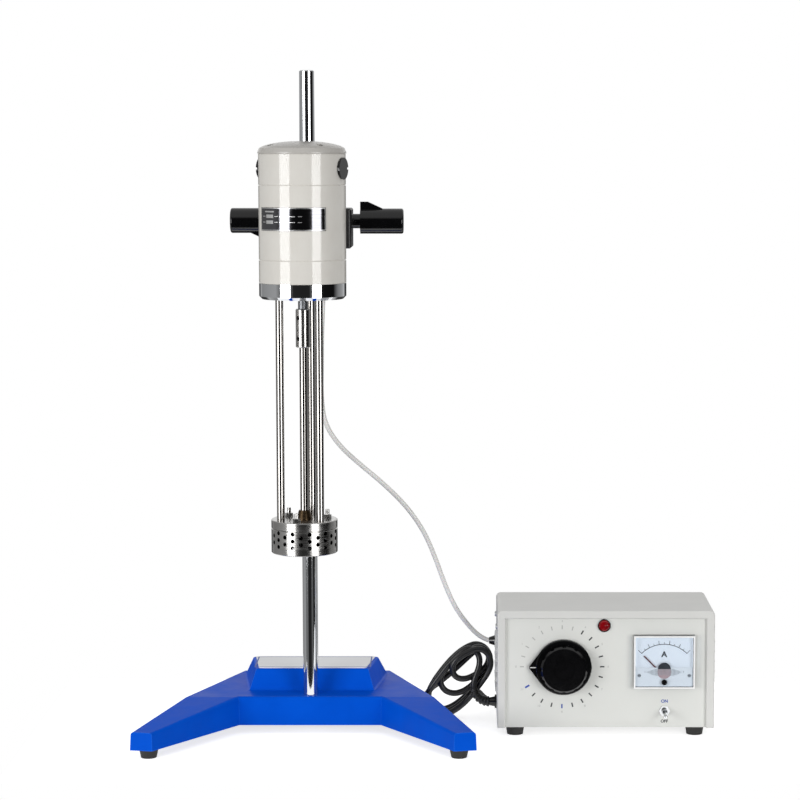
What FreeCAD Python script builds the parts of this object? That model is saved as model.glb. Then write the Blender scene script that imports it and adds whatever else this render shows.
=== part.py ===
import FreeCAD, Part

import math
import operator
import os

import Sketcher
from FreeCAD import Rotation, Vector

# High shear homogenizer: a motor head with a rotor and stator on a column stand, and its speed
# controller beside it. Millimetres and degrees, +Z up, the operator stands at -Y.
# The origin is on the floor, below the middle of the whole object without its cords.
# An azimuth is measured about a vertical axis, 0 toward the operator and positive to the right.

SIZES = {
    # Stand: a hollow casting with two forward legs and a plinth behind the column.
    "base_width": 352.0,
    "base_front": 125.0,
    "base_back": 118.0,
    "base_wall": 4.0,
    "base_draft": 2.0,
    "ledge_top": 39.4,
    "front_wall": 14.5,
    "front_wall_width": 150.0,
    "toe_width": 23.0,
    "toe_set_back": 4.0,
    "toe_top": 27.0,
    "back_width": 164.0,
    "plinth_height": 21.6,
    "plinth_front": 17.0,
    "plinth_front_width": 133.0,
    "plinth_front_slope": 9.0,
    "plinth_front_draft": 6.5,
    "plinth_back_in": 19.0,
    "plinth_side_in": 4.0,
    "plinth_back_slope": 11.0,
    "plinth_back_draft": 10.0,
    "base_edge": 3.0,
    "label_gap": 2.5,
    "label_thick": 0.8,
    # Rubber feet of the stand and of the controller, and the screws that hold them.
    "stand_foot_top": 10.0,
    "stand_foot_bottom": 8.0,
    "stand_foot_height": 9.0,
    "foot_in": 18.0,
    "front_foot_back": 13.0,
    "back_foot_forward": 20.0,
    "foot_boss_radius": 9.0,
    "foot_boss_top": 4.0,
    "foot_screw_radius": 2.5,
    "foot_screw_head": 4.5,
    "foot_screw_sunk": 3.0,
    "foot_screw_head_height": 2.5,
    "foot_screw_length": 9.0,
    "unit_foot_top": 10.0,
    "unit_foot_bottom": 8.5,
    "unit_foot_height": 10.0,
    "unit_foot_in": 19.0,
    "unit_foot_depth_in": 18.0,
    "screw_clearance": 0.1,
    # Column: a chromed rod with a reduced stud through the ledge, washer and nut.
    "column_radius": 8.0,
    "column_top": 697.0,
    "column_chamfer": 1.0,
    "column_stud_radius": 5.0,
    "column_stud_drop": 21.0,
    "column_hole_clearance": 0.1,
    "column_nut_flange": 9.3,
    "column_nut_flange_thick": 2.0,
    "column_nut_flats": 16.0,
    "column_nut_height": 8.0,
    # Boss head: a cast block that slides on the column and holds the motor's arm.
    "boss_left": 26.5,
    "boss_right": 47.0,
    "boss_front": 34.0,
    "boss_back": 15.0,
    "boss_below_arm": 28.0,
    "boss_height": 41.0,
    "boss_edge": 3.0,
    "slide_clearance": 0.08,
    "boss_web": 3.0,
    "arm_height": 542.0,
    "arm_radius": 7.0,
    # Clamp knobs: a turned grip with a thumb wing, moulded on a screw.
    "knob_neck_radius": 7.5,
    "knob_neck": 9.0,
    "knob_length": 44.5,
    "knob_radius": 13.0,
    "knob_wing_reach": 20.0,
    "knob_wing_flat": 8.0,
    "knob_wing_slope": 15.0,
    "knob_wing_thick": 9.0,
    "knob_edge": 2.0,
    "knob_screw_radius": 4.0,
    "clamp_gap": 0.3,
    "arm_screw_y": 23.0,
    # Motor: four stacked castings on a chromed flange, hanging in front of the column.
    "motor_gap": 2.0,
    "motor_radius": 44.0,
    "motor_wall": 4.0,
    "arm_rise": 37.0,
    "flange_height": 16.0,
    "lower_housing_height": 23.5,
    "middle_housing_height": 75.0,
    "upper_housing_height": 31.4,
    "cover_rim": 3.0,
    "cover_height": 12.6,
    "cover_overhang": 0.6,
    "flange_edge": 3.0,
    "seam_edge": 0.6,
    "cover_screw_circle": 36.0,
    "cover_screw_azimuth": 34.0,
    "cover_screw_radius": 1.5,
    "cover_screw_head": 3.2,
    "cover_screw_head_height": 1.6,
    "cover_screw_length": 10.0,
    "cover_slot": 0.8,
    "plate_left": 62.0,
    "plate_right": 35.5,
    "plate_rise": 30.0,
    "plate_height": 23.0,
    "plate_thick": 0.6,
    "plate_seat": 0.05,
    "brush_azimuth": 69.5,
    "brush_rise": 16.5,
    "brush_cap_radius": 11.0,
    "brush_cap_out": 2.0,
    "brush_cap_thick": 6.0,
    "brush_cap_rim": 1.0,
    "brush_cap_proud": 0.3,
    "brush_slot_width": 2.0,
    "brush_slot_depth": 1.2,
    "brush_width": 6.0,
    "gland_azimuth": 168.0,
    "gland_rise": 10.5,
    "gland_radius": 5.5,
    "gland_out": 7.0,
    "motor_gland_end": 7.5,
    # Inside the motor.
    "bearing_radius": 13.0,
    "bearing_thick": 8.0,
    "bearing_bore": 5.0,
    "bearing_lip": 9.0,
    "upper_bearing_drop": 8.4,
    "bridge_thick": 6.0,
    "bridge_rim": 4.0,
    "bearing_floor": 2.0,
    "stator_rise": 7.0,
    "stator_end": 16.0,
    "stator_step": 5.0,
    "core_in": 8.0,
    "stator_height": 62.0,
    "stator_wall": 13.0,
    "air_gap": 0.6,
    "commutator_radius": 13.0,
    "commutator_rise": 4.0,
    "commutator_height": 16.0,
    "brush_gap": 0.3,
    "motor_shaft_radius": 5.0,
    "shaft_clearance": 0.05,
    # Coupling and stirring shaft.
    "coupling_radius": 7.5,
    "coupling_drop": 49.5,
    "coupling_height": 39.0,
    "coupling_middle": 3.0,
    "coupling_edge": 0.8,
    "set_screw_in": 9.0,
    "set_screw_radius": 2.0,
    "set_screw_azimuth": -40.0,
    "stir_shaft_radius": 4.0,
    # Shear head: top plate on three rods, perforated ring, hub bush and rotor.
    "rod_circle": 24.3,
    "rod_azimuth": 45.0,
    "rod_radius": 4.0,
    "rod_spigot_radius": 3.0,
    "rod_spigot": 7.0,
    "head_radius": 33.75,
    "rod_length": 225.2,
    "head_plate_height": 8.8,
    "ring_height": 25.0,
    "head_seam": 0.6,
    "ring_wall": 3.5,
    "ring_flange": 3.0,
    "ring_flange_bore": 18.0,
    "ring_lip": 2.5,
    "inlet_radius": 22.0,
    "hole_radius": 2.1,
    "hole_pitch": 7.0,
    "hole_row_rise": 15.5,
    "hole_azimuth": 12.6,
    "hole_columns": 12.0,
    "hub_radius": 8.0,
    "hub_top_radius": 5.6,
    "hub_height": 9.0,
    "stud_circle": 24.0,
    "stud_azimuth": -15.0,
    "stud_radius": 2.0,
    "stud_out": 9.0,
    "nut_flats": 7.0,
    "nut_height": 3.6,
    "rotor_gap": 0.5,
    "rotor_rise": 4.5,
    "rotor_height": 14.5,
    "rotor_hub_radius": 8.0,
    "blade_count": 4.0,
    "blade_thick": 3.0,
    "blade_in": 0.3,
    "rotor_disc": 2.0,
    # Speed controller: a sheet metal box.
    "unit_gap": 22.0,
    "unit_width": 228.0,
    "unit_depth": 107.0,
    "unit_front": 31.0,
    "unit_top": 135.0,
    "sheet": 1.5,
    "sheet_gap": 0.2,
    "lip_width": 8.5,
    "lip_depth": 4.0,
    "lip_edge": 1.5,
    "top_bend": 5.0,
    "louvre_count": 6.0,
    "louvre_pitch": 10.6,
    "louvre_bottom": 45.0,
    "louvre_height": 6.0,
    "louvre_out": 2.2,
    "louvre_lip": 1.2,
    "louvre_wall": 0.9,
    "louvre_front": 18.0,
    "louvre_length": 50.0,
    "side_screw_drop": 20.0,
    "side_screw_front": 20.0,
    "side_screw_back": 87.0,
    "side_screw_radius": 2.0,
    "side_screw_head": 3.6,
    "side_screw_head_height": 1.8,
    "side_screw_length": 6.0,
    # Speed knob and the variable transformer behind it.
    "dial_x": -44.5,
    "dial_z": 74.8,
    "dial_gap": 0.8,
    "skirt_radius": 29.5,
    "skirt_thick": 4.0,
    "pointer_reach": 36.0,
    "pointer_tip": 1.0,
    "grip_radius": 24.5,
    "grip_height": 13.0,
    "grip_edge": 2.0,
    "scallop_count": 12.0,
    "scallop_radius": 3.2,
    "scallop_depth": 1.1,
    "recess_radius": 11.0,
    "recess_depth": 1.5,
    "speed_shaft_radius": 3.0,
    "speed_shaft_in_knob": 10.0,
    "bush_radius": 5.0,
    "bracket_y": 16.0,
    "bracket_thick": 2.0,
    "bracket_radius": 44.0,
    "post_radius": 3.0,
    "post_circle": 30.0,
    "core_radius": 36.0,
    "core_bore": 22.0,
    "core_length": 34.0,
    "winding_thick": 3.0,
    "arm_gap": 0.3,
    "arm_thick": 4.0,
    "arm_width": 10.0,
    "arm_reach": 33.0,
    "shaft_end": 2.0,
    # Pilot lamp, toggle switch and their places on the panel.
    "lamp_x": -2.0,
    "lamp_drop": 16.0,
    "lamp_radius": 6.0,
    "lamp_bezel": 1.2,
    "lamp_bezel_out": 2.5,
    "lamp_out": 4.0,
    "lamp_behind": 18.0,
    "switch_x": 62.0,
    "switch_z": 27.7,
    "switch_bush_radius": 3.0,
    "switch_bush_out": 6.0,
    "switch_body_width": 13.0,
    "switch_body_height": 26.0,
    "switch_body_depth": 15.0,
    "switch_nut_flats": 10.0,
    "switch_nut_height": 2.0,
    "lever_root": 1.1,
    "lever_tip": 2.2,
    "lever_length": 13.0,
    "lever_angle": 12.0,
    "switch_bore": 2.2,
    # Panel ammeter.
    "meter_x": 61.0,
    "meter_z": 81.0,
    "meter_width": 64.0,
    "meter_height": 56.0,
    "meter_out": 8.0,
    "meter_base": 3.0,
    "meter_barrel": 24.0,
    "meter_barrel_length": 34.0,
    "window_wall": 1.5,
    "dial_plate_thick": 0.6,
    "needle_drop": 15.0,
    "needle_length": 30.0,
    "needle_width": 1.2,
    "needle_thick": 0.4,
    "needle_lift": 1.4,
    "needle_hub": 3.0,
    "needle_pivot": 0.8,
    "needle_pivot_depth": 6.0,
    "zero_screw_radius": 3.0,
    "zero_screw_drop": 21.0,
    "zero_screw_out": 1.2,
    "zero_screw_slot": 0.9,
    # Cable glands, cords, hank and plug.
    "motor_gland_y": 81.0,
    "motor_gland_z": 87.0,
    "mains_gland_y": 71.0,
    "mains_gland_z": 22.0,
    "unit_gland_radius": 5.5,
    "unit_gland_flange": 7.5,
    "unit_gland_out": 8.0,
    "motor_cord_radius": 2.5,
    "mains_cord_radius": 3.3,
    "hank_front": 70.0,
    "hank_thick": 25.0,
    "hank_gap": 3.0,
    "hank_lift": 0.5,
    "hank_width": 76.0,
    "hank_height": 83.0,
    "hank_edge": 6.0,
    "plug_length": 38.0,
    "plug_width": 34.0,
    "plug_thick": 22.0,
    "plug_edge": 4.0,
    "plug_x": 46.0,
    "plug_y": 22.0,
    "pin_radius": 2.4,
    "pin_length": 19.0,
    "pin_pitch": 19.0,
}


class Size:
    """A number worked out from the sheet, with the text that binds a property to it."""

    def __init__(self, number, text):
        self.number = number
        self.text = text

    def __add__(self, other):
        return combined(self, "+", other)

    def __radd__(self, other):
        return combined(other, "+", self)

    def __sub__(self, other):
        return combined(self, "-", other)

    def __rsub__(self, other):
        return combined(other, "-", self)

    def __mul__(self, other):
        return combined(self, "*", other)

    def __rmul__(self, other):
        return combined(other, "*", self)

    def __truediv__(self, other):
        return combined(self, "/", other)

    def __neg__(self):
        return combined(0, "-", self)


SIGNS = {"+": operator.add, "-": operator.sub, "*": operator.mul, "/": operator.truediv}


def as_size(value):
    """A plain number as a Size."""
    return value if isinstance(value, Size) else Size(float(value), repr(float(value)))


def combined(a, sign, b):
    a = as_size(a)
    b = as_size(b)
    return Size(SIGNS[sign](a.number, b.number), f"({a.text} {sign} {b.text})")


def sine(angle):
    angle = as_size(angle)
    return Size(math.sin(math.radians(angle.number)), f"sin({angle.text})")


def cosine(angle):
    angle = as_size(angle)
    return Size(math.cos(math.radians(angle.number)), f"cos({angle.text})")


doc = FreeCAD.newDocument("HighShearHomogenizer")
sheet = doc.addObject("Spreadsheet::Sheet", "sizes")


class Sheet:
    """The sheet's sizes by name."""


S = Sheet()
for row, (word, value) in enumerate(SIZES.items(), 1):
    sheet.set(f"A{row}", word)
    sheet.set(f"B{row}", str(value))
    sheet.setAlias(f"B{row}", word)
    setattr(S, word, Size(value, "sizes." + word))
doc.recompute()

NODES = []

# Places that several pieces share.
STAND_X = -(S.unit_gap + S.unit_width + S.louvre_out) / 2
STAND_Y = (S.base_front - S.base_back) / 2
MOTOR_Y = STAND_Y - (S.boss_front + S.motor_gap + S.motor_radius)
UNIT_X = (S.base_width + S.unit_gap - S.louvre_out) / 2
UNIT_Y = STAND_Y - S.unit_front
UNIT_LEFT = UNIT_X - S.unit_width / 2
PANEL_Y = UNIT_Y + S.lip_depth
BOSS_BOTTOM = S.arm_height - S.boss_below_arm
MIDDLE_BOTTOM = S.arm_height - S.arm_rise
LOWER_BOTTOM = MIDDLE_BOTTOM - S.lower_housing_height
FLANGE_BOTTOM = LOWER_BOTTOM - S.flange_height
UPPER_BOTTOM = MIDDLE_BOTTOM + S.middle_housing_height
COVER_BOTTOM = UPPER_BOTTOM + S.upper_housing_height
UPPER_BEARING = COVER_BOTTOM - S.upper_bearing_drop
BRUSH_HEIGHT = UPPER_BOTTOM + S.brush_rise
GLAND_HEIGHT = LOWER_BOTTOM + S.gland_rise
STATOR_BOTTOM = MIDDLE_BOTTOM + S.stator_rise
COUPLING_BOTTOM = FLANGE_BOTTOM - S.coupling_drop
PLATE_TOP = FLANGE_BOTTOM - S.rod_length
RING_TOP = PLATE_TOP - S.head_plate_height
RING_BOTTOM = RING_TOP - S.ring_height
ROTOR_BOTTOM = RING_BOTTOM + S.rotor_rise
LAMP_Z = S.unit_top - S.lamp_drop
SIDE_SCREW_Z = S.unit_top - S.side_screw_drop
ALONG_X = Rotation(Vector(0, 1, 0), 90)
ALONG_Y = Rotation(Vector(1, 0, 0), -90)
TOWARD_OPERATOR = Rotation(Vector(1, 0, 0), 90)


def bind(thing, prop, value):
    """Ties one property to the sheet."""
    value = as_size(value)
    if "sizes." in value.text:
        thing.setExpression(prop, value.text)
    else:
        setattr(thing, prop, value.number)


def put(thing, x=0, y=0, z=0, turn=None):
    """Stands an object at a place, turned by a rotation."""
    places = [as_size(place) for place in (x, y, z)]
    base = Vector(*[place.number for place in places])
    thing.Placement = FreeCAD.Placement(base, turn or Rotation())
    for letter, place in zip("xyz", places):
        if "sizes." in place.text:
            thing.setExpression(f".Placement.Base.{letter}", place.text)
    return thing


def facing(azimuth, tilt=TOWARD_OPERATOR):
    """The rotation that lays a piece's own Z along an azimuth."""
    return Rotation(Vector(0, 0, 1), as_size(azimuth).number) * tilt


def around(azimuth, radius):
    """The X and Y of a point at an azimuth on a circle."""
    return sine(azimuth) * radius, -(cosine(azimuth) * radius)


def node(label, thing):
    """Names a finished sub-part."""
    thing.Label = label
    NODES.append(thing)
    return thing


def primitive(kind, sizes, x=0, y=0, z=0, turn=None):
    thing = doc.addObject("Part::" + kind, "form")
    for prop, value in sizes.items():
        bind(thing, prop, value)
    return put(thing, x, y, z, turn)


def cylinder(radius, height, x=0, y=0, z=0, turn=None):
    return primitive("Cylinder", {"Radius": radius, "Height": height}, x, y, z, turn)


def cone(bottom, top, height, x=0, y=0, z=0, turn=None):
    return primitive("Cone", {"Radius1": bottom, "Radius2": top, "Height": height}, x, y, z, turn)


def block(width, depth, height, x=0, y=0, z=0):
    """A box centred in X and Y that stands at z."""
    thing = primitive("Box", {"Length": width, "Width": depth, "Height": height})
    return put(thing, x - width / 2, y - depth / 2, z)


def hexagon(flats, height, x=0, y=0, z=0, turn=None):
    sizes = {"Circumradius": as_size(flats) / math.sqrt(3), "Height": height}
    thing = primitive("Prism", sizes, x, y, z, turn)
    thing.Polygon = 6
    return thing


def group(things):
    thing = doc.addObject("Part::Compound", "set")
    thing.Links = things
    return thing


def cut(base, tools):
    thing = doc.addObject("Part::Cut", "cut")
    thing.Base = base
    thing.Tool = tools[0] if len(tools) == 1 else group(tools)
    return thing


def fuse(things):
    thing = doc.addObject("Part::MultiFuse", "joined")
    thing.Shapes = things
    thing.Refine = True
    return thing


def new_body():
    return doc.addObject("PartDesign::Body", "body")


def sketch(body, role, lift=0, spin=0):
    """A sketch on one of the body's own origin planes, lifted along its normal."""
    flat = body.newObject("Sketcher::SketchObject", "outline")
    plane = next(part for part in body.Origin.OriginFeatures if part.Role == role)
    flat.AttachmentSupport = [(plane, "")]
    flat.MapMode = "FlatFace"
    lift = as_size(lift)
    turned = Rotation(Vector(0, 1, 0), spin)
    flat.AttachmentOffset = FreeCAD.Placement(Vector(0, 0, lift.number), turned)
    if "sizes." in lift.text:
        flat.setExpression(".AttachmentOffset.Base.z", lift.text)
    return flat


def pin(flat, item, point, x, y):
    """Dimensions one point of a sketch from the sketch's origin."""
    for kind, value in (("DistanceX", as_size(x)), ("DistanceY", as_size(y))):
        number = flat.addConstraint(Sketcher.Constraint(kind, -1, 1, item, point, value.number))
        if "sizes." in value.text:
            flat.setExpression(f"Constraints[{number}]", value.text)


def polygon(flat, points):
    first = flat.GeometryCount
    ends = [Vector(as_size(x).number, as_size(y).number, 0) for x, y in points]
    for start, end in zip(ends, ends[1:] + ends[:1]):
        flat.addGeometry(Part.LineSegment(start, end))
    for i, (x, y) in enumerate(points):
        after = first + (i + 1) % len(points)
        flat.addConstraint(Sketcher.Constraint("Coincident", first + i, 2, after, 1))
        pin(flat, first + i, 1, x, y)


def rectangle(flat, left, right, bottom, top):
    polygon(flat, [(left, bottom), (right, bottom), (right, top), (left, top)])


def circle(flat, x, y, radius):
    radius = as_size(radius)
    middle = Vector(as_size(x).number, as_size(y).number, 0)
    item = flat.addGeometry(Part.Circle(middle, Vector(0, 0, 1), radius.number))
    number = flat.addConstraint(Sketcher.Constraint("Radius", item, radius.number))
    if "sizes." in radius.text:
        flat.setExpression(f"Constraints[{number}]", radius.text)
    pin(flat, item, 3, x, y)


def pad(body, flat, length, kind="Pad", reverse=False, both=False, taper=0):
    """Extrudes a sketch, or pockets it."""
    thing = body.newObject("PartDesign::" + kind, kind.lower())
    thing.Profile = (flat, [""])
    bind(thing, "Length", length)
    thing.Reversed = reverse
    if both:
        thing.SideType = "Symmetric"
    if taper:
        bind(thing, "TaperAngle", taper)
    body.Tip = thing
    return thing


def pocket(body, flat, length, reverse=False, both=False):
    return pad(body, flat, length, "Pocket", reverse, both)


def turned(points, x=0, y=0, z=0, turn=None):
    """A body turned about its own Z from (radius, height) points."""
    body = new_body()
    flat = sketch(body, "XZ_Plane")
    polygon(flat, points)
    spun = body.newObject("PartDesign::Revolution", "turned")
    spun.Profile = (flat, [""])
    spun.ReferenceAxis = (flat, ["V_Axis"])
    spun.Angle = 360
    body.Tip = spun
    return put(body, x, y, z, turn)


def dress(body, kind, test, size):
    """Fillets or chamfers the edges of a body's last feature that pass a test."""
    doc.recompute()
    last = body.Tip
    edges = [f"Edge{i}" for i, edge in enumerate(last.Shape.Edges, 1) if test(edge)]
    thing = body.newObject("PartDesign::" + kind, kind.lower())
    thing.Base = (last, edges)
    bind(thing, "Radius" if kind == "Fillet" else "Size", size)
    body.Tip = thing
    return thing


def polar(body, features, count):
    """Repeats features about the body's own Z."""
    thing = body.newObject("PartDesign::PolarPattern", "around")
    thing.Originals = features
    axis = next(part for part in body.Origin.OriginFeatures if part.Role == "Z_Axis")
    thing.Axis = (axis, [""])
    thing.Angle = 360
    bind(thing, "Occurrences", count)
    body.Tip = thing
    return thing


def straight_up(edge):
    """Whether an edge runs mostly upward."""
    ends = [vertex.Point for vertex in edge.Vertexes]
    if len(ends) != 2:
        return False
    run = ends[1] - ends[0]
    return abs(run.z) > 0.9 * run.Length


def lies_at(edge, height):
    """Whether a whole edge lies at one height."""
    box = edge.BoundBox
    return abs(box.ZMin - height) < 0.01 and abs(box.ZMax - height) < 0.01


# The base is one iron casting, hollow below, with a flat ledge for the column, a plinth behind
# it and two legs that spread and slope down to the toes.
def base_casting():
    body = new_body()
    wall_x = S.front_wall_width / 2
    toe_out = S.base_width / 2
    toe_in = toe_out - S.toe_width
    back_x = S.back_width / 2
    toe_y = -(S.base_front - S.toe_set_back)
    bottom = S.stand_foot_height
    plan = sketch(body, "XY_Plane", bottom)
    right = [(toe_out, toe_y), (toe_in, -S.base_front), (wall_x, -S.front_wall)]
    left = [(-x, y) for x, y in reversed(right)]
    polygon(plan, [(-back_x, S.base_back), (back_x, S.base_back)] + right + left)
    pad(body, plan, S.ledge_top - bottom, taper=-S.base_draft)
    slope = sketch(body, "YZ_Plane")
    front = S.base_front + S.base_wall
    tip = (-front, S.toe_top)
    polygon(slope, [(-S.front_wall, S.ledge_top), (-front, S.ledge_top), tip])
    pocket(body, slope, S.base_width * 2, both=True)
    foot = sketch(body, "XY_Plane", S.ledge_top)
    top = sketch(body, "XY_Plane", S.ledge_top + S.plinth_height)
    for flat, raised in ((foot, 0), (top, 1)):
        corners = plinth_corners(raised)
        polygon(flat, corners + [(-x, y) for x, y in reversed(corners)])
    plinth = body.newObject("PartDesign::AdditiveLoft", "plinth")
    plinth.Profile = (foot, [""])
    plinth.Sections = [(top, [""])]
    body.Tip = plinth
    doc.recompute()
    faces = [
        f"Face{i}"
        for i, face in enumerate(plinth.Shape.Faces, 1)
        if abs(face.BoundBox.ZMax - bottom.number) < 0.01
    ]
    hollow = body.newObject("PartDesign::Thickness", "hollow")
    hollow.Base = (plinth, faces)
    bind(hollow, "Value", S.base_wall)
    hollow.Join = "Intersection"
    hollow.Reversed = True
    body.Tip = hollow
    bosses = sketch(body, "XY_Plane", bottom)
    for x, y in foot_places():
        circle(bosses, x, y, S.foot_boss_radius)
    pad(body, bosses, S.toe_top - bottom - S.foot_boss_top)
    back_bosses = sketch(body, "XY_Plane", bottom)
    for x, y in foot_places()[2:]:
        circle(back_bosses, x, y, S.foot_boss_radius)
    pad(body, back_bosses, S.ledge_top - bottom - S.base_wall)

    def outer_edge(edge):
        """The edges of the hollow lie a wall below or inside the outer ones, and stay sharp."""
        box = edge.BoundBox
        plinth_top = (S.ledge_top + S.plinth_height).number
        if box.ZMin > plinth_top - 0.1 or lies_at(edge, S.ledge_top.number):
            return True
        if abs(box.ZMax - S.ledge_top.number) < 0.01:
            return S.toe_top.number - 1 < box.ZMin < S.toe_top.number + 2
        return abs(box.ZMax - plinth_top) < 0.01 and straight_up(edge)

    dress(body, "Fillet", outer_edge, S.base_edge)
    holes = [cylinder(S.column_stud_radius + S.column_hole_clearance, S.ledge_top)]
    for x, y in foot_places():
        depth = S.foot_screw_sunk + S.foot_screw_head_height + S.foot_screw_length
        holes.append(cylinder(S.foot_screw_radius + S.screw_clearance, depth + 1, x, y))
    return node("base_casting", put(cut(body, holes), STAND_X, STAND_Y))


def plinth_corners(raised):
    """The plinth's right corners, from the column, at its foot or at its raised top."""
    front_x = S.plinth_front_width / 2 - raised * S.plinth_front_draft
    front_y = S.plinth_front + raised * S.plinth_front_slope
    back_x = S.back_width / 2 - S.plinth_side_in - raised * S.plinth_back_draft
    back_y = S.base_back - S.plinth_back_in - raised * S.plinth_back_slope
    return [(front_x, front_y), (back_x, back_y)]


def foot_places():
    """The four feet of the stand, from the column: the front pair first."""
    front_x = S.base_width / 2 - S.foot_in
    front_y = S.front_foot_back - S.base_front
    back_x = S.back_width / 2 - S.foot_in
    back_y = S.base_back - S.back_foot_forward
    return [(-front_x, front_y), (front_x, front_y), (-back_x, back_y), (back_x, back_y)]


# Turned rubber feet, each with a sunk screw that is driven up into the casting or the tray.
def rubber_foot(bottom, top, height, x, y):
    body = cone(bottom, top, height, x, y)
    shank = cylinder(S.foot_screw_radius + S.screw_clearance, height, x, y)
    sunk = S.foot_screw_sunk + S.foot_screw_head_height
    head = cylinder(S.foot_screw_head + S.screw_clearance, sunk, x, y)
    return cut(body, [fuse([shank, head])])


def foot_screw(length, x, y):
    head = cylinder(S.foot_screw_head, S.foot_screw_head_height, x, y, S.foot_screw_sunk)
    top = S.foot_screw_sunk + S.foot_screw_head_height
    return fuse([head, cylinder(S.foot_screw_radius, length, x, y, top)])


def feet():
    stand = [(STAND_X + x, STAND_Y + y) for x, y in foot_places()]
    sizes = (S.stand_foot_bottom, S.stand_foot_top, S.stand_foot_height)
    node("stand_feet", group([rubber_foot(*sizes, x, y) for x, y in stand]))
    unit = []
    for side in (-1, 1):
        x = UNIT_X + side * (S.unit_width / 2 - S.unit_foot_in)
        for y in (S.unit_foot_depth_in, S.unit_depth - S.unit_foot_depth_in):
            unit.append((x, UNIT_Y + y))
    sizes = (S.unit_foot_bottom, S.unit_foot_top, S.unit_foot_height)
    node("controller_feet", group([rubber_foot(*sizes, x, y) for x, y in unit]))
    node("foot_screws", group([foot_screw(S.foot_screw_length, x, y) for x, y in stand + unit]))
    return unit


# The column is a ground and chromed rod that stands on the ledge and is drawn down by a nut.
def column():
    low = S.ledge_top - S.column_stud_drop
    points = [
        (0, low),
        (S.column_stud_radius, low),
        (S.column_stud_radius, S.ledge_top),
        (S.column_radius, S.ledge_top),
        (S.column_radius, S.column_top - S.column_chamfer),
        (S.column_radius - S.column_chamfer, S.column_top),
        (0, S.column_top),
    ]
    node("column", turned(points, STAND_X, STAND_Y))
    flange = cylinder(S.column_nut_flange, S.column_nut_flange_thick, 0, 0, S.column_nut_height)
    blank = fuse([hexagon(S.column_nut_flats, S.column_nut_height), flange])
    height = S.column_nut_height + S.column_nut_flange_thick
    hole = cylinder(S.column_stud_radius + S.column_hole_clearance, height)
    below = S.ledge_top - S.base_wall - height
    node("column_nut", put(cut(blank, [hole]), STAND_X, STAND_Y, below))


# A thin plate fills the plinth's top.
def label_plate():
    body = new_body()
    flat = sketch(body, "XY_Plane", S.ledge_top + S.plinth_height)
    gap = S.label_gap
    (front_x, front_y), (back_x, back_y) = plinth_corners(1)
    corners = [(front_x - gap, front_y + gap), (back_x - gap, back_y - gap)]
    polygon(flat, corners + [(-x, y) for x, y in reversed(corners)])
    pad(body, flat, S.label_thick)
    dress(body, "Fillet", straight_up, S.base_edge)
    node("label_plate", put(body, STAND_X, STAND_Y))


# The boss head is a cast block with two crossed bores and a threaded hole for each clamp screw.
def boss_head():
    body = new_body()
    plan = sketch(body, "XY_Plane")
    rectangle(plan, -S.boss_left, S.boss_right, -S.boss_front, S.boss_back)
    pad(body, plan, S.boss_height)
    dress(body, "Fillet", straight_up, S.boss_edge)
    high = S.boss_height.number
    dress(body, "Chamfer", lambda edge: lies_at(edge, 0) or lies_at(edge, high), S.boss_edge / 2)
    column_bore = cylinder(S.column_radius + S.slide_clearance, S.boss_height)
    height = S.arm_height - BOSS_BOTTOM
    arm_depth = S.boss_front - S.column_radius - S.boss_web
    arm_bore = cylinder(S.arm_radius + S.clamp_gap, arm_depth, 0, -S.boss_front, height, ALONG_Y)
    thread = S.knob_screw_radius + S.clamp_gap
    left = cylinder(thread, S.boss_left, -S.boss_left, 0, height, ALONG_X)
    right = cylinder(thread, S.boss_right, 0, -S.arm_screw_y, height, ALONG_X)
    block_cut = cut(body, [fuse([column_bore, arm_bore, left, right])])
    node("boss_head", put(block_cut, STAND_X, STAND_Y, BOSS_BOTTOM))


# Each clamp knob is one moulding round its screw: a neck, a plain barrel and a thumb wing.
def clamp_knob(label, x, y, turn, screw_reach):
    neck = S.knob_neck
    end = neck + S.knob_length
    body = turned(
        [
            (0, -screw_reach),
            (S.knob_screw_radius, -screw_reach),
            (S.knob_screw_radius, 0),
            (S.knob_neck_radius, 0),
            (S.knob_neck_radius, neck),
            (S.knob_radius, neck),
            (S.knob_radius, end),
            (0, end),
        ]
    )
    edge = S.knob_radius.number

    def end_edge(e):
        return lies_at(e, end.number) and abs(e.BoundBox.XMax - edge) < 0.1

    dress(body, "Fillet", end_edge, S.knob_edge)
    wing = sketch(body, "XZ_Plane")
    tip = neck + S.knob_wing_flat
    points = [
        (0, neck),
        (S.knob_wing_reach, neck),
        (S.knob_wing_reach, tip),
        (S.knob_radius, tip + S.knob_wing_slope),
        (0, tip + S.knob_wing_slope),
    ]
    polygon(wing, points)
    pad(body, wing, S.knob_wing_thick, both=True)
    node(label, put(body, x, y, S.arm_height, turn))


def clamp_knobs():
    wing_up = ALONG_X * Rotation(Vector(0, 0, 1), 180)
    wing_down = Rotation(Vector(0, 0, 1), 180) * ALONG_X
    gap = S.clamp_gap
    arm_reach = S.boss_right - S.arm_radius - gap
    clamp_knob("arm_knob", STAND_X + S.boss_right, STAND_Y - S.arm_screw_y, wing_up, arm_reach)
    column_reach = S.boss_left - S.column_radius - gap
    clamp_knob("column_knob", STAND_X - S.boss_left, STAND_Y, wing_down, column_reach)


# The motor's arm is screwed into the middle housing and held in the boss head.
def support_arm():
    start = MOTOR_Y + S.motor_radius - S.motor_wall
    end = STAND_Y - S.column_radius - S.boss_web - S.clamp_gap
    points = [
        (0, 0),
        (S.arm_radius, 0),
        (S.arm_radius, end - start - 1),
        (S.arm_radius - 1, end - start),
        (0, end - start),
    ]
    node("support_arm", turned(points, STAND_X, start, S.arm_height, ALONG_Y))


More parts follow.
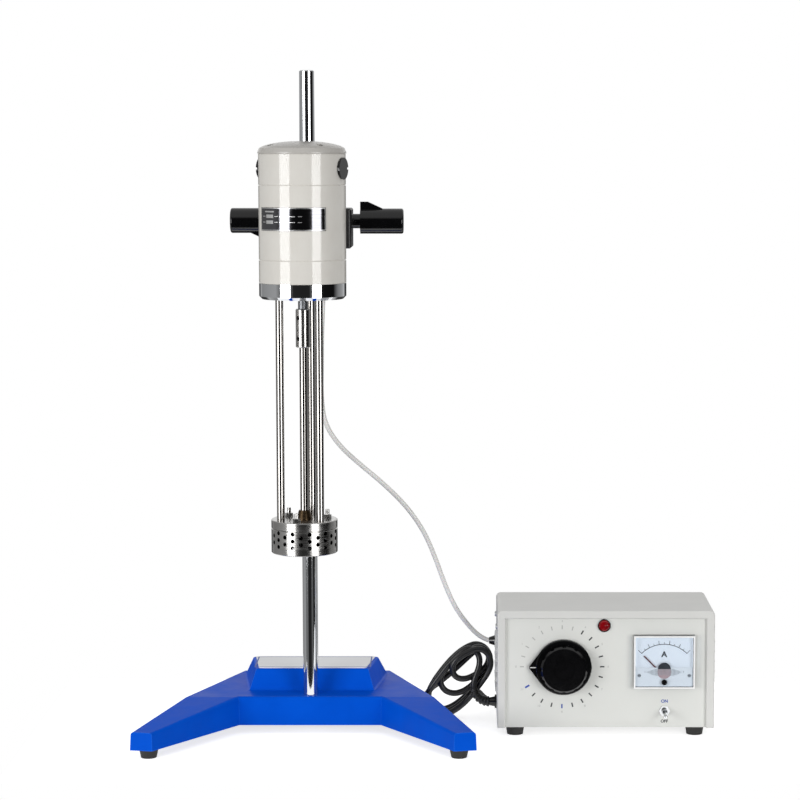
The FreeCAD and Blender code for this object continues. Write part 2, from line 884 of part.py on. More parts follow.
def motor_tube(bottom, top, inside=()):
    """A ring of the motor's housing with lightly broken outer edges."""
    radius = S.motor_radius
    inner = radius - S.motor_wall
    edge = S.seam_edge
    points = [
        (inner, bottom),
        (radius - edge, bottom),
        (radius, bottom + edge),
        (radius, top - edge),
        (radius - edge, top),
        (inner, top),
    ]
    return turned(points + list(inside), STAND_X, MOTOR_Y)


# A chromed flange closes the motor below, carries the lower bearing and takes the three rods.
def mounting_flange():
    bottom = FLANGE_BOTTOM
    top = LOWER_BOTTOM
    lip = S.bearing_lip
    seat = top - S.bearing_thick
    edge = S.flange_edge
    points = [
        (lip, bottom),
        (S.motor_radius - edge, bottom),
        (S.motor_radius, bottom + edge),
        (S.motor_radius, top),
        (S.bearing_radius, top),
        (S.bearing_radius, seat),
        (lip, seat),
    ]
    body = turned(points, STAND_X, MOTOR_Y)
    holes = []
    for x, y in rod_places():
        hole = S.rod_spigot_radius + S.screw_clearance
        holes.append(cylinder(hole, S.rod_spigot + 1, STAND_X + x, MOTOR_Y + y, bottom))
    node("mounting_flange", cut(body, holes))


def rod_places():
    return [around(S.rod_azimuth + 120 * i, S.rod_circle) for i in range(3)]


def stud_places():
    return [around(S.stud_azimuth + 120 * i, S.stud_circle) for i in range(3)]


def cover_screw_places():
    return [around(S.cover_screw_azimuth + 90 * i, S.cover_screw_circle) for i in range(4)]


# Three cast housings: the lower one takes the cable, the middle one the field and the arm, the
# upper one the brushes and, on a bridge, the upper bearing.
def housings():
    lower = motor_tube(LOWER_BOTTOM, MIDDLE_BOTTOM)
    x, y = around(S.gland_azimuth, S.motor_radius - S.motor_wall - 1)
    place = (STAND_X + x, MOTOR_Y + y, GLAND_HEIGHT, facing(S.gland_azimuth))
    hole = cylinder(S.gland_radius - 1 + S.screw_clearance, S.motor_wall + 3, *place)
    node("lower_housing", cut(lower, [hole]))
    middle = motor_tube(MIDDLE_BOTTOM, UPPER_BOTTOM)
    hole_y = MOTOR_Y + S.motor_radius - S.motor_wall - 1
    hole_radius = S.arm_radius + S.screw_clearance
    arm_hole = cylinder(hole_radius, S.motor_wall + 3, STAND_X, hole_y, S.arm_height, ALONG_Y)
    node("middle_housing", cut(middle, [arm_hole]))
    seat = UPPER_BEARING
    inner = S.motor_radius - S.motor_wall
    bridge = [
        (inner, seat + S.bearing_thick),
        (S.bearing_radius, seat + S.bearing_thick),
        (S.bearing_radius, seat),
        (S.bearing_lip, seat),
        (S.bearing_lip, seat - S.bearing_floor),
        (S.bearing_radius + S.bridge_rim, seat - S.bearing_floor),
        (S.bearing_radius + S.bridge_rim, seat + S.bearing_thick - S.bridge_thick),
        (inner, seat + S.bearing_thick - S.bridge_thick),
    ]
    upper = motor_tube(UPPER_BOTTOM, COVER_BOTTOM, bridge)
    tools = []
    cap_room = S.brush_cap_radius - S.brush_cap_rim + S.screw_clearance
    for side in (0, 180):
        azimuth = S.brush_azimuth - side
        tools.append(radial(cap_room, inner - 3, S.motor_radius + S.brush_cap_out, azimuth))
    depth = S.cover_screw_length - S.cover_rim + 1
    for x, y in cover_screw_places():
        place = (STAND_X + x, MOTOR_Y + y, COVER_BOTTOM - depth)
        tools.append(cylinder(S.cover_screw_radius + S.screw_clearance, depth, *place))
    node("upper_housing", cut(upper, tools))


def radial(radius, start, end, azimuth):
    """A cylinder that points outward from the motor's axis at the brushes' height."""
    x, y = around(azimuth, start)
    return cylinder(radius, end - start, STAND_X + x, MOTOR_Y + y, BRUSH_HEIGHT, facing(azimuth))


# The top cover is a shallow pressed dome held by four screws.
def top_cover():
    bottom = COVER_BOTTOM
    radius = S.motor_radius + S.cover_overhang
    height = S.cover_height
    wall = S.cover_rim
    rim_top = bottom + wall
    points = [(0, rim_top), (0, bottom + height)]
    steps = 6
    for i in range(1, steps):
        angle = math.radians(90 * i / steps)
        points.append((radius * math.sin(angle), rim_top + (height - wall) * math.cos(angle)))
    points += [(radius, rim_top - wall / 2), (radius, bottom), (S.bearing_radius, bottom)]
    points += [(S.bearing_radius, rim_top)]
    body = turned(points, STAND_X, MOTOR_Y)
    holes = []
    screws = []
    for x, y in cover_screw_places():
        place = (STAND_X + x, MOTOR_Y + y)
        hole = cylinder(S.cover_screw_radius + S.screw_clearance, height, *place, bottom)
        seat = cylinder(S.cover_screw_head + S.screw_clearance, height, *place, rim_top)
        holes.append(fuse([hole, seat]))
        head = cylinder(S.cover_screw_head, S.cover_screw_head_height, *place, rim_top)
        shank_z = rim_top - S.cover_screw_length
        shank = cylinder(S.cover_screw_radius, S.cover_screw_length, *place, shank_z)
        slot_z = rim_top + S.cover_screw_head_height - S.cover_slot
        slot = block(S.cover_screw_head * 3, S.cover_slot, S.cover_slot * 2, *place, slot_z)
        screws.append(cut(fuse([head, shank]), [slot]))
    node("top_cover", cut(body, holes))
    node("cover_screws", group(screws))


# The nameplate is a strip of sheet rolled to the housing.
def nameplate():
    inner = S.motor_radius + S.plate_seat
    tube = cut(
        cylinder(inner + S.plate_thick, S.plate_height),
        [cylinder(inner, S.plate_height)],
    )
    span = S.plate_left + S.plate_right
    wedge = cylinder(S.motor_radius * 2, S.plate_height)
    bind(wedge, "Angle", span)
    turn = Rotation(Vector(0, 0, 1), -90 - S.plate_left.number)
    wedge.Placement = FreeCAD.Placement(Vector(), turn)
    strip = doc.addObject("Part::Common", "strip")
    strip.Base = tube
    strip.Tool = wedge
    node("nameplate", put(strip, STAND_X, MOTOR_Y, MIDDLE_BOTTOM + S.plate_rise))


# Slotted caps hold the two carbon brushes against the commutator.
def brushes():
    caps = []
    carbons = []
    for side in (0, 180):
        azimuth = S.brush_azimuth - side
        end = S.motor_radius + S.brush_cap_out
        start = end - S.brush_cap_thick
        stem = radial(S.brush_cap_radius - S.brush_cap_rim, start, end, azimuth)
        rim = radial(S.brush_cap_radius, S.motor_radius + S.brush_cap_proud, end, azimuth)
        slot = block(S.brush_cap_radius * 3, S.brush_slot_width, S.brush_slot_depth)
        x, y = around(azimuth, end - S.brush_slot_depth)
        put_slot = group([slot])
        put(put_slot, STAND_X + x, MOTOR_Y + y, BRUSH_HEIGHT, facing(azimuth))
        caps.append(cut(fuse([stem, rim]), [put_slot]))
        inner = S.commutator_radius + S.brush_gap
        carbons.append(radial(S.brush_width / 2, inner, start, azimuth))
    node("brush_caps", group(caps))
    node("carbon_brushes", group(carbons))


def ring(outer, inner, height, z):
    points = [(inner, z), (outer, z), (outer, z + height), (inner, z + height)]
    return turned(points, STAND_X, MOTOR_Y)


# Inside the motor: two bearings, the field, and the armature with its commutator on the shaft.
def motor_inside():
    lower = LOWER_BOTTOM - S.bearing_thick
    bore = S.bearing_bore + S.shaft_clearance
    seats = (lower, UPPER_BEARING)
    bearings = [ring(S.bearing_radius, bore, S.bearing_thick, z) for z in seats]
    node("bearings", group(bearings))
    outer = S.motor_radius - S.motor_wall
    inner = outer - S.stator_wall
    slim = outer - S.stator_step
    top = STATOR_BOTTOM + S.stator_height
    field = turned(
        [
            (inner, STATOR_BOTTOM),
            (slim, STATOR_BOTTOM),
            (slim, STATOR_BOTTOM + S.stator_end),
            (outer, STATOR_BOTTOM + S.stator_end),
            (outer, top - S.stator_end),
            (slim, top - S.stator_end),
            (slim, top),
            (inner, top),
        ],
        STAND_X,
        MOTOR_Y,
    )
    room_y = MOTOR_Y + outer - 3
    arm_room = cylinder(S.arm_radius + 1, S.motor_wall, STAND_X, room_y, S.arm_height, ALONG_Y)
    node("field_stator", cut(field, [arm_room]))
    armature(inner - S.air_gap)


def armature(core):
    """The shaft with its core and commutator pressed on, as one piece."""
    shaft = S.motor_shaft_radius
    top = UPPER_BEARING + S.bearing_thick
    middle = COUPLING_BOTTOM + S.coupling_height / 2 + S.coupling_middle / 2
    core_low = STATOR_BOTTOM + S.core_in
    core_high = STATOR_BOTTOM + S.stator_height - S.core_in
    low = UPPER_BOTTOM + S.commutator_rise
    high = low + S.commutator_height
    points = [
        (0, middle),
        (shaft, middle),
        (shaft, core_low),
        (core, core_low),
        (core, core_high),
        (shaft, core_high),
        (shaft, low),
        (S.commutator_radius, low),
        (S.commutator_radius, high),
        (shaft, high),
        (shaft, top - S.seam_edge),
        (shaft - S.seam_edge, top),
        (0, top),
    ]
    node("armature", turned(points, STAND_X, MOTOR_Y))


# A turned sleeve with two set screws joins the motor's shaft to the long shaft.
def coupling():
    bottom = COUPLING_BOTTOM
    top = bottom + S.coupling_height
    half = bottom + S.coupling_height / 2
    edge = S.coupling_edge
    small = S.stir_shaft_radius
    big = S.motor_shaft_radius
    outer = S.coupling_radius
    low = half - S.coupling_middle / 2
    high = half + S.coupling_middle / 2
    points = [
        (small, bottom),
        (outer - edge, bottom),
        (outer, bottom + edge),
        (outer, top - edge),
        (outer - edge, top),
        (big, top),
        (big, high),
        (0, high),
        (0, low),
        (small, low),
    ]
    sleeve = turned(points, STAND_X, MOTOR_Y)
    tools = []
    screws = []
    for z, inner in ((bottom + S.set_screw_in, small), (top - S.set_screw_in, big)):
        x, y = around(S.set_screw_azimuth, inner)
        place = (STAND_X + x, MOTOR_Y + y, z, facing(S.set_screw_azimuth))
        tools.append(cylinder(S.set_screw_radius + S.screw_clearance, outer, *place))
        screws.append(cylinder(S.set_screw_radius, outer - inner - edge, *place))
    node("coupling", cut(sleeve, tools))
    node("coupling_screws", group(screws))
    rod = [
        (0, ROTOR_BOTTOM),
        (small, ROTOR_BOTTOM),
        (small, low),
        (0, low),
    ]
    node("stirring_shaft", turned(rod, STAND_X, MOTOR_Y))


# The rotor is a hub and a thin disc with four upright blades that sweep close inside the ring.
def shear_rotor():
    outer = S.head_radius - S.ring_wall - S.rotor_gap
    body = turned(
        [
            (S.stir_shaft_radius, 0),
            (S.rotor_hub_radius, 0),
            (S.rotor_hub_radius, S.rotor_height - S.rotor_disc),
            (outer, S.rotor_height - S.rotor_disc),
            (outer, S.rotor_height),
            (S.stir_shaft_radius, S.rotor_height),
        ]
    )
    flat = sketch(body, "XY_Plane")
    blade_half = S.blade_thick / 2
    rectangle(flat, S.rotor_hub_radius - 1, outer - S.blade_in, -blade_half, blade_half)
    blade = pad(body, flat, S.rotor_height)
    polar(body, [blade], S.blade_count)
    node("shear_rotor", put(body, STAND_X, MOTOR_Y, ROTOR_BOTTOM))


# Three chromed rods hang the head from the flange, with a threaded spigot at each end.
def support_rods():
    top = FLANGE_BOTTOM
    bottom = PLATE_TOP
    slim = S.rod_spigot_radius
    points = [
        (0, bottom - S.rod_spigot),
        (slim, bottom - S.rod_spigot),
        (slim, bottom),
        (S.rod_radius, bottom),
        (S.rod_radius, top),
        (slim, top),
        (slim, top + S.rod_spigot),
        (0, top + S.rod_spigot),
    ]
    rods = [turned(points, STAND_X + x, MOTOR_Y + y) for x, y in rod_places()]
    node("support_rods", group(rods))


# The head: a top plate with a bronze bush for the shaft, and the perforated ring below it.
def shear_head():
    bottom = RING_TOP
    top = PLATE_TOP
    radius = S.head_radius
    seam = S.head_seam
    points = [
        (S.hub_radius, bottom),
        (radius - seam, bottom),
        (radius, bottom + seam),
        (radius, top - seam),
        (radius - seam, top),
        (S.hub_radius, top),
    ]
    plate = turned(points, STAND_X, MOTOR_Y)
    tools = []
    spigot = S.rod_spigot_radius + S.screw_clearance
    for x, y in rod_places():
        tools.append(cylinder(spigot, top, STAND_X + x, MOTOR_Y + y, top - S.rod_spigot))
    stud = S.stud_radius + S.screw_clearance
    for x, y in stud_places():
        tools.append(cylinder(stud, top, STAND_X + x, MOTOR_Y + y, bottom - 1))
    node("head_top_plate", cut(plate, tools))
    bore = S.stir_shaft_radius + S.shaft_clearance
    hub = [
        (bore, bottom),
        (S.hub_radius, bottom),
        (S.hub_radius, top + 1),
        (S.hub_top_radius, top + S.hub_height),
        (bore, top + S.hub_height),
    ]
    node("hub_bush", turned(hub, STAND_X, MOTOR_Y))
    studs = []
    nuts = []
    for x, y in stud_places():
        place = (STAND_X + x, MOTOR_Y + y)
        low = bottom - S.ring_flange
        studs.append(cylinder(S.stud_radius, top + S.stud_out - low, *place, low))
        nut = hexagon(S.nut_flats, S.nut_height, *place, top)
        hole = cylinder(S.stud_radius + S.shaft_clearance, S.nut_height, *place, top)
        nuts.append(cut(nut, [hole]))
    node("head_studs", group(studs))
    node("head_nuts", group(nuts))
    perforated_ring()


def perforated_ring():
    """The stator: rows of three and of two holes take turns around the wall."""
    bottom = RING_BOTTOM
    top = RING_TOP
    radius = S.head_radius
    inner = radius - S.ring_wall
    seam = S.head_seam
    points = [
        (S.inlet_radius, bottom),
        (radius - seam, bottom),
        (radius, bottom + seam),
        (radius, top - seam),
        (radius - seam, top),
        (S.ring_flange_bore, top),
        (S.ring_flange_bore, top - S.ring_flange),
        (inner, top - S.ring_flange),
        (inner, bottom + S.ring_lip),
        (S.inlet_radius, bottom + S.ring_lip),
    ]
    body = turned(points, STAND_X, MOTOR_Y, 0, Rotation(Vector(0, 0, 1), S.hole_azimuth.number))
    columns = []
    half_step = 180 / S.hole_columns.number
    hole_row = bottom + S.hole_row_rise
    for spin, offsets in ((0, (-1, 0, 1)), (-half_step, (-0.5, 0.5))):
        flat = sketch(body, "XZ_Plane", 0, spin)
        for offset in offsets:
            circle(flat, 0, hole_row + S.hole_pitch * offset, S.hole_radius)
        columns.append(pocket(body, flat, radius + 1, reverse=True))
    polar(body, columns, S.hole_columns)
    studs = []
    for x, y in stud_places():
        depth = S.ring_flange + 1
        studs.append(cylinder(S.stud_radius, depth, STAND_X + x, MOTOR_Y + y, top - depth))
    node("perforated_ring", cut(body, studs))


# Speed controller: the cover is one folded sheet with a rolled front lip and pressed louvres.
def controller_cover():
    body = new_body()
    half = S.unit_width / 2
    low = S.unit_foot_height
    high = S.unit_top
    outer = sketch(body, "XZ_Plane")
    rectangle(outer, -half, half, low, high)
    pad(body, outer, S.unit_depth, reverse=True)
    inside = sketch(body, "XZ_Plane", -S.lip_depth)
    rectangle(inside, S.sheet - half, half - S.sheet, low - 1, high - S.sheet)
    pocket(body, inside, S.unit_depth)
    opening = sketch(body, "XZ_Plane")
    rectangle(opening, S.lip_width - half, half - S.lip_width, low - 1, high - S.lip_width)
    pocket(body, opening, S.unit_depth)

    def top_bend(height, x):
        def test(edge):
            box = edge.BoundBox
            long = box.YMax - box.YMin > S.unit_depth.number / 2
            return long and lies_at(edge, height) and abs(abs(box.XMax) - x) < 0.01

        return test

    inner_z = (high - S.sheet).number
    dress(body, "Fillet", top_bend(inner_z, (half - S.sheet).number), S.top_bend - S.sheet)
    dress(body, "Fillet", top_bend(high.number, half.number), S.top_bend)

    def front_edge(edge):
        box = edge.BoundBox
        return abs(box.YMin) < 0.01 and abs(box.YMax) < 0.01 and box.ZMax > low.number + 1

    dress(body, "Fillet", front_edge, S.lip_edge)
    louvres(body)
    holes = []
    for side, y in screw_places():
        radius = S.side_screw_radius + S.screw_clearance
        start = side * half - S.sheet * 1.5
        holes.append(cylinder(radius, S.sheet * 3, start, y, SIDE_SCREW_Z, ALONG_X))
    for y, z in gland_places():
        radius = S.unit_gland_radius + S.screw_clearance
        holes.append(cylinder(radius, S.sheet * 3, -half - S.sheet, y, z, ALONG_X))
    node("controller_cover", put(cut(body, holes), UNIT_X, UNIT_Y))


def louvres(body):
    """Pressed hoods on both sides, each open below."""
    side = -(S.unit_width / 2)
    out = side - S.louvre_out
    z = S.louvre_bottom
    lip = z + S.louvre_lip
    hood = sketch(body, "XZ_Plane", -S.louvre_front)
    polygon(hood, [(side, z), (out, z), (out, lip), (side, z + S.louvre_height)])
    hood_pad = pad(body, hood, S.louvre_length, reverse=True)
    wall = S.louvre_wall
    slit = sketch(body, "XZ_Plane", -(S.louvre_front + wall))
    deep = side + S.sheet + 1
    roof = z + S.louvre_height - S.sheet
    polygon(slit, [(deep, z), (out + wall, z), (out + wall, lip - wall / 3), (deep, roof)])
    slit_pocket = pocket(body, slit, S.louvre_length - wall * 2)
    doc.recompute()
    many = body.newObject("PartDesign::MultiTransform", "louvres")
    many.Originals = [hood_pad, slit_pocket]
    rows = body.newObject("PartDesign::LinearPattern", "rows")
    up = next(part for part in body.Origin.OriginFeatures if part.Role == "Z_Axis")
    rows.Direction = (up, [""])
    bind(rows, "Length", S.louvre_pitch * (S.louvre_count - 1))
    bind(rows, "Occurrences", S.louvre_count)
    other = body.newObject("PartDesign::Mirrored", "other_side")
    middle = next(part for part in body.Origin.OriginFeatures if part.Role == "YZ_Plane")
    other.MirrorPlane = (middle, [""])
    many.Transformations = [rows, other]
    body.Tip = many


def screw_places():
    return [(side, y) for side in (-1, 1) for y in (S.side_screw_front, S.side_screw_back)]


def gland_places():
    return [(S.motor_gland_y, S.motor_gland_z), (S.mains_gland_y, S.mains_gland_z)]


# The front panel is a flat sheet behind the lip; the chassis is a tray with a back wall.
def controller_frame(foot_points):
    half = S.unit_width / 2 - S.sheet - S.sheet_gap
    low = S.unit_foot_height
    high = S.unit_top - S.sheet - S.sheet_gap
    body = new_body()
    flat = sketch(body, "XZ_Plane", -S.lip_depth)
    bend = S.top_bend
    right = [(half, low), (half, high - bend), (half - bend, high)]
    polygon(flat, right + [(-x, z) for x, z in reversed(right)])
    circle(flat, S.dial_x, S.dial_z, S.bush_radius + S.screw_clearance)
    circle(flat, S.lamp_x, LAMP_Z, S.lamp_radius)
    circle(flat, S.switch_x, S.switch_z, S.switch_bush_radius + S.screw_clearance)
    circle(flat, S.meter_x, S.meter_z, S.meter_barrel + S.screw_clearance)
    pad(body, flat, S.sheet, reverse=True)
    node("front_panel", put(body, UNIT_X, UNIT_Y))
    tray = new_body()
    side = sketch(tray, "YZ_Plane")
    front = S.lip_depth + S.sheet
    back = S.unit_depth
    floor = low + S.sheet
    wall_y = back - S.sheet
    wall_top = high - bend
    bottom = [(front, floor), (front, low), (back, low), (back, wall_top)]
    polygon(side, bottom + [(wall_y, wall_top), (wall_y, floor)])
    pad(tray, side, half * 2, both=True)
    put(tray, UNIT_X, UNIT_Y)
    radius = S.foot_screw_radius + S.screw_clearance
    holes = [cylinder(radius, low * 2, x, y) for x, y in foot_points]
    node("controller_tray", cut(tray, holes))
    screws = []
    for side, y in screw_places():
        start = UNIT_X + side * S.unit_width / 2
        turn = ALONG_X if side > 0 else Rotation(Vector(0, 1, 0), -90)
        place = (UNIT_Y + y, SIDE_SCREW_Z, turn)
        crown = S.side_screw_head * 2 / 3
        head = cone(S.side_screw_head, crown, S.side_screw_head_height, start, *place)
        inner = start - side * S.side_screw_length
        shank = cylinder(S.side_screw_radius, S.side_screw_length, inner, *place)
        screws.append(fuse([head, shank]))
    node("side_screws", group(screws))


# The speed knob: a skirt drawn out to a point, and a scalloped grip with a shallow recess.
def speed_knob():
    skirt = S.skirt_thick
    top = skirt + S.grip_height
    inner = S.recess_radius
    body = turned(
        [
            (0, 0),
            (S.skirt_radius, 0),
            (S.skirt_radius, skirt - 1),
            (S.skirt_radius - 1, skirt),
            (S.grip_radius, skirt),
            (S.grip_radius, top - S.grip_edge),
            (S.grip_radius - S.grip_edge, top),
            (inner, top),
            (inner, top - S.recess_depth),
            (0, top - S.recess_depth),
        ]
    )
    scallop = sketch(body, "XY_Plane", skirt)
    circle(scallop, S.grip_radius + S.scallop_radius - S.scallop_depth, 0, S.scallop_radius)
    groove = pocket(body, scallop, S.grip_height, reverse=True)
    doc.recompute()
    polar(body, [groove], S.scallop_count)
    point = sketch(body, "XY_Plane")
    radius = S.skirt_radius.number
    reach = S.pointer_reach.number
    touch = math.degrees(math.acos(radius / reach))
    tip = S.pointer_tip
    side = S.skirt_radius * math.sin(math.radians(touch))
    along = S.skirt_radius * math.cos(math.radians(touch))
    upper = [(S.pointer_reach, tip), (along, side), (0, side)]
    polygon(point, [(x, -y) for x, y in reversed(upper)] + upper)
    pad(body, point, skirt - 0.5)
    shaft_room = cylinder(S.speed_shaft_radius, S.speed_shaft_in_knob)
    knob = cut(body, [shaft_room])
    turn = TOWARD_OPERATOR * Rotation(Vector(0, 0, 1), 180)
    node("speed_knob", put(knob, UNIT_X + S.dial_x, PANEL_Y - S.dial_gap, S.dial_z, turn))


# Behind the knob: the bracket and bush, the wound core, and the arm that wipes its rear face.
def transformer():
    x = UNIT_X + S.dial_x
    inside = PANEL_Y + S.sheet
    bracket_y = UNIT_Y + S.bracket_y
    plate = cylinder(S.bracket_radius, S.bracket_thick, x, bracket_y, S.dial_z, ALONG_Y)
    parts = [plate]
    for i in range(3):
        post_x = x + S.post_circle * math.sin(math.radians(120 * i))
        post_z = S.dial_z + S.post_circle * math.cos(math.radians(120 * i))
        post = cylinder(S.post_radius, bracket_y - inside, post_x, inside, post_z, ALONG_Y)
        parts.append(post)
    parts.append(cylinder(S.bush_radius, bracket_y - PANEL_Y, x, PANEL_Y, S.dial_z, ALONG_Y))
    radius = S.speed_shaft_radius + S.shaft_clearance
    bore = cylinder(radius, S.unit_depth, x, UNIT_Y, S.dial_z, ALONG_Y)
    node("transformer_bracket", cut(fuse(parts), [bore]))
    start = bracket_y + S.bracket_thick
    end = start + S.core_length
    rim = S.winding_thick
    outer = S.core_radius + rim
    wound = [
        (S.core_bore, 0),
        (S.core_radius, 0),
        (outer, rim),
        (outer, S.core_length - rim),
        (S.core_radius, S.core_length),
        (S.core_bore, S.core_length),
    ]
    node("transformer_core", turned(wound, x, start, S.dial_z, ALONG_Y))
    arm_y = end + S.arm_gap
    hub = cylinder(S.arm_width * 0.8, S.arm_thick, x, arm_y, S.dial_z, ALONG_Y)
    place = (x - S.arm_reach / 2, arm_y + S.arm_thick / 2, S.dial_z - S.arm_width / 2)
    reach = block(S.arm_reach, S.arm_thick, S.arm_width, *place)
    shaft_hole = cylinder(S.speed_shaft_radius, S.arm_thick, x, arm_y, S.dial_z, ALONG_Y)
    node("brush_arm", cut(fuse([hub, reach]), [shaft_hole]))
    front = PANEL_Y - S.dial_gap - S.speed_shaft_in_knob
    back = arm_y + S.arm_thick + S.shaft_end
    node("speed_shaft", cylinder(S.speed_shaft_radius, back - front, x, front, S.dial_z, ALONG_Y))


# Pilot lamp: a thin bezel against the panel and a lens body that passes through it.
def pilot_lamp():
    x = UNIT_X + S.lamp_x
    radius = S.lamp_radius - S.screw_clearance
    length = S.lamp_out + S.sheet + S.lamp_behind
    points = [
        (0, 0),
        (radius, 0),
        (radius, length - 2),
        (radius * 0.75, length - 0.6),
        (0, length),
    ]
    lens_y = PANEL_Y + S.sheet + S.lamp_behind
    node("lamp_lens", turned(points, x, lens_y, LAMP_Z, TOWARD_OPERATOR))
    outer = S.lamp_radius + S.lamp_bezel
    out = S.lamp_bezel_out
    bezel = [(S.lamp_radius, 0), (outer, 0), (outer - 0.4, out), (S.lamp_radius, out)]
    node("lamp_bezel", turned(bezel, x, PANEL_Y, LAMP_Z, TOWARD_OPERATOR))


# Toggle switch: a moulded body behind the panel, its bush and nut in front, and a bat lever.
def toggle_switch():
    x = UNIT_X + S.switch_x
    inside = PANEL_Y + S.sheet
    deep = S.switch_body_depth
    tall = S.switch_body_height
    body = block(S.switch_body_width, deep, tall, x, inside + deep / 2, S.switch_z - tall / 2)
    length = S.switch_bush_out + S.sheet
    bush = cylinder(S.switch_bush_radius, length, x, inside, S.switch_z, TOWARD_OPERATOR)
    bore = cylinder(S.switch_bore, length + 2, x, inside + 2, S.switch_z, TOWARD_OPERATOR)
    node("toggle_switch_body", cut(fuse([body, bush]), [bore]))
    place = (x, PANEL_Y, S.switch_z, TOWARD_OPERATOR)
    nut = hexagon(S.switch_nut_flats, S.switch_nut_height, *place)
    hole = cylinder(S.switch_bush_radius + S.shaft_clearance, S.switch_nut_height, *place)
    node("toggle_nut", cut(nut, [hole]))
    pivot_y = PANEL_Y - S.switch_bush_out + 2
    root = cone(S.lever_root, S.lever_tip, S.lever_length)
    knob = primitive("Sphere", {"Radius": S.lever_tip})
    put(knob, 0, 0, S.lever_length)
    ball = primitive("Sphere", {"Radius": S.switch_bore - S.arm_gap})
    lever = fuse([root, knob, ball])
    down = Rotation(Vector(1, 0, 0), 90 + S.lever_angle.number)
    node("toggle_lever", put(lever, x, pivot_y, S.switch_z, down))


# Panel ammeter: a black case with a barrel through the panel, a dial, a clear cover, a needle.
def ammeter():
    x = UNIT_X + S.meter_x
    front = PANEL_Y - S.meter_out
    base_y = PANEL_Y - S.meter_base
    wide = S.meter_width
    tall = S.meter_height
    low = S.meter_z - tall / 2
    base = block(wide, S.meter_base, tall, x, base_y + S.meter_base / 2, low)
    length = S.meter_barrel_length + S.meter_base
    barrel = cylinder(S.meter_barrel, length, x, base_y, S.meter_z, ALONG_Y)
    pivot_z = S.meter_z - S.needle_drop
    room = S.needle_pivot + S.arm_gap
    well = cylinder(room, S.needle_pivot_depth + 1, x, base_y, pivot_z, ALONG_Y)
    node("ammeter_case", cut(fuse([base, barrel]), [well]))
    wall = S.window_wall
    depth = S.meter_out - S.meter_base
    outer = block(wide, depth, tall, x, front + depth / 2, low)
    room_y = front + wall + depth / 2
    inner = block(wide - wall * 2, depth, tall - wall * 2, x, room_y, low + wall)
    node("ammeter_window", cut(outer, [inner]))
    thick = S.dial_plate_thick
    edge = wall + S.sheet_gap
    plate = block(wide - edge * 2, thick, tall - edge * 2, x, base_y - thick / 2, low + edge)
    hole = cylinder(room, thick * 3, x, base_y - thick * 2, pivot_z, ALONG_Y)
    node("ammeter_dial", cut(plate, [hole]))
    needle_y = base_y - thick - S.needle_lift
    hub = cylinder(S.needle_hub, S.needle_thick, 0, 0, 0, ALONG_Y)
    axle_length = S.needle_lift + thick + S.needle_pivot_depth
    axle = cylinder(S.needle_pivot, axle_length, 0, 0, 0, ALONG_Y)
    long = S.needle_length
    thin = S.needle_thick
    pointer = block(long, thin, S.needle_width, -long / 2, thin / 2, -S.needle_width / 2)
    needle = fuse([hub, axle, pointer])
    at_zero = Rotation(Vector(0, 1, 0), 45)
    node("ammeter_needle", put(needle, x, needle_y, pivot_z, at_zero))
    z = S.meter_z - S.zero_screw_drop
    radius = S.zero_screw_radius
    screw = cylinder(radius, S.zero_screw_out, x, front, z, TOWARD_OPERATOR)
    width = S.zero_screw_slot
    slot = block(radius * 3, width, width, x, front - S.zero_screw_out, z - width / 2)
    node("ammeter_zero_screw", cut(screw, [slot]))


# Moulded glands hold the cords: one on the motor's back and two in the controller's side.
def glands():
    x, y = around(S.gland_azimuth, S.motor_radius - S.motor_wall)
    bore = S.motor_cord_radius + S.shaft_clearance
    stem = S.gland_radius - 1
    start = S.motor_wall + S.motor_gland_end - S.gland_out
    end = start + S.gland_out
    points = [(bore, 0), (stem, 0), (stem, start), (S.gland_radius, start)]
    points += [(S.gland_radius, end - 3), (stem - 0.5, end), (bore, end)]
    gland = turned(points, STAND_X + x, MOTOR_Y + y, GLAND_HEIGHT, facing(S.gland_azimuth))
    node("motor_gland", gland)
    for label, radius, (y, z) in zip(
        ("motor_cable_gland", "mains_gland"),
        (S.motor_cord_radius, S.mains_cord_radius),
        gland_places(),
    ):
        out = S.unit_gland_out
        bore = radius + S.shaft_clearance
        points = [
            (bore, -(S.sheet + 2)),
            (S.unit_gland_radius, -(S.sheet + 2)),
            (S.unit_gland_radius, 0),
            (S.unit_gland_flange, 0),
            (S.unit_gland_flange, 2),
            (S.unit_gland_radius, 2),
            (radius + 1, out),
            (bore, out),
        ]
        node(label, turned(points, UNIT_LEFT, UNIT_Y + y, z, Rotation(Vector(0, 1, 0), -90)))


def tube(label, route, radius):
    """A cord: straight runs joined by tangent arcs as large as the runs allow."""
    points = [Vector(*[as_size(part).number for part in point]) for point in route]
    edges = []
    radii = []
    start = points[0]
    for before, corner, after in zip(points, points[1:], points[2:]):
        come = (corner - before).normalize()
        leave = (after - corner).normalize()
        turn = come.getAngle(leave)
        tangent = 0.45 * min((corner - before).Length, (after - corner).Length)
        bend = tangent / math.tan(turn / 2)
        arc_start = corner - come * tangent
        arc_end = corner + leave * tangent
        inward = (leave - come).normalize()
        middle = corner + inward * (bend / math.cos(turn / 2) - bend)
        edges.append(Part.LineSegment(start, arc_start).toShape())
        edges.append(Part.Arc(arc_start, middle, arc_end).toShape())
        radii.append(round(bend, 1))
        start = arc_end
    edges.append(Part.LineSegment(start, points[-1]).toShape())
    path = Part.Wire(edges)
    ring_edge = Part.Circle(points[0], points[1] - points[0], radius.number).toShape()
    solid = path.makePipeShell([Part.Wire([ring_edge])], True, False)
    share = solid.Volume / (math.pi * radius.number**2 * path.Length)
    print(label, "length", round(path.Length, 1), "radii", radii, "volume share", round(share, 4))
    thing = doc.addObject("Part::Feature", "cord")
    thing.Shape = solid
    return node(label, thing)


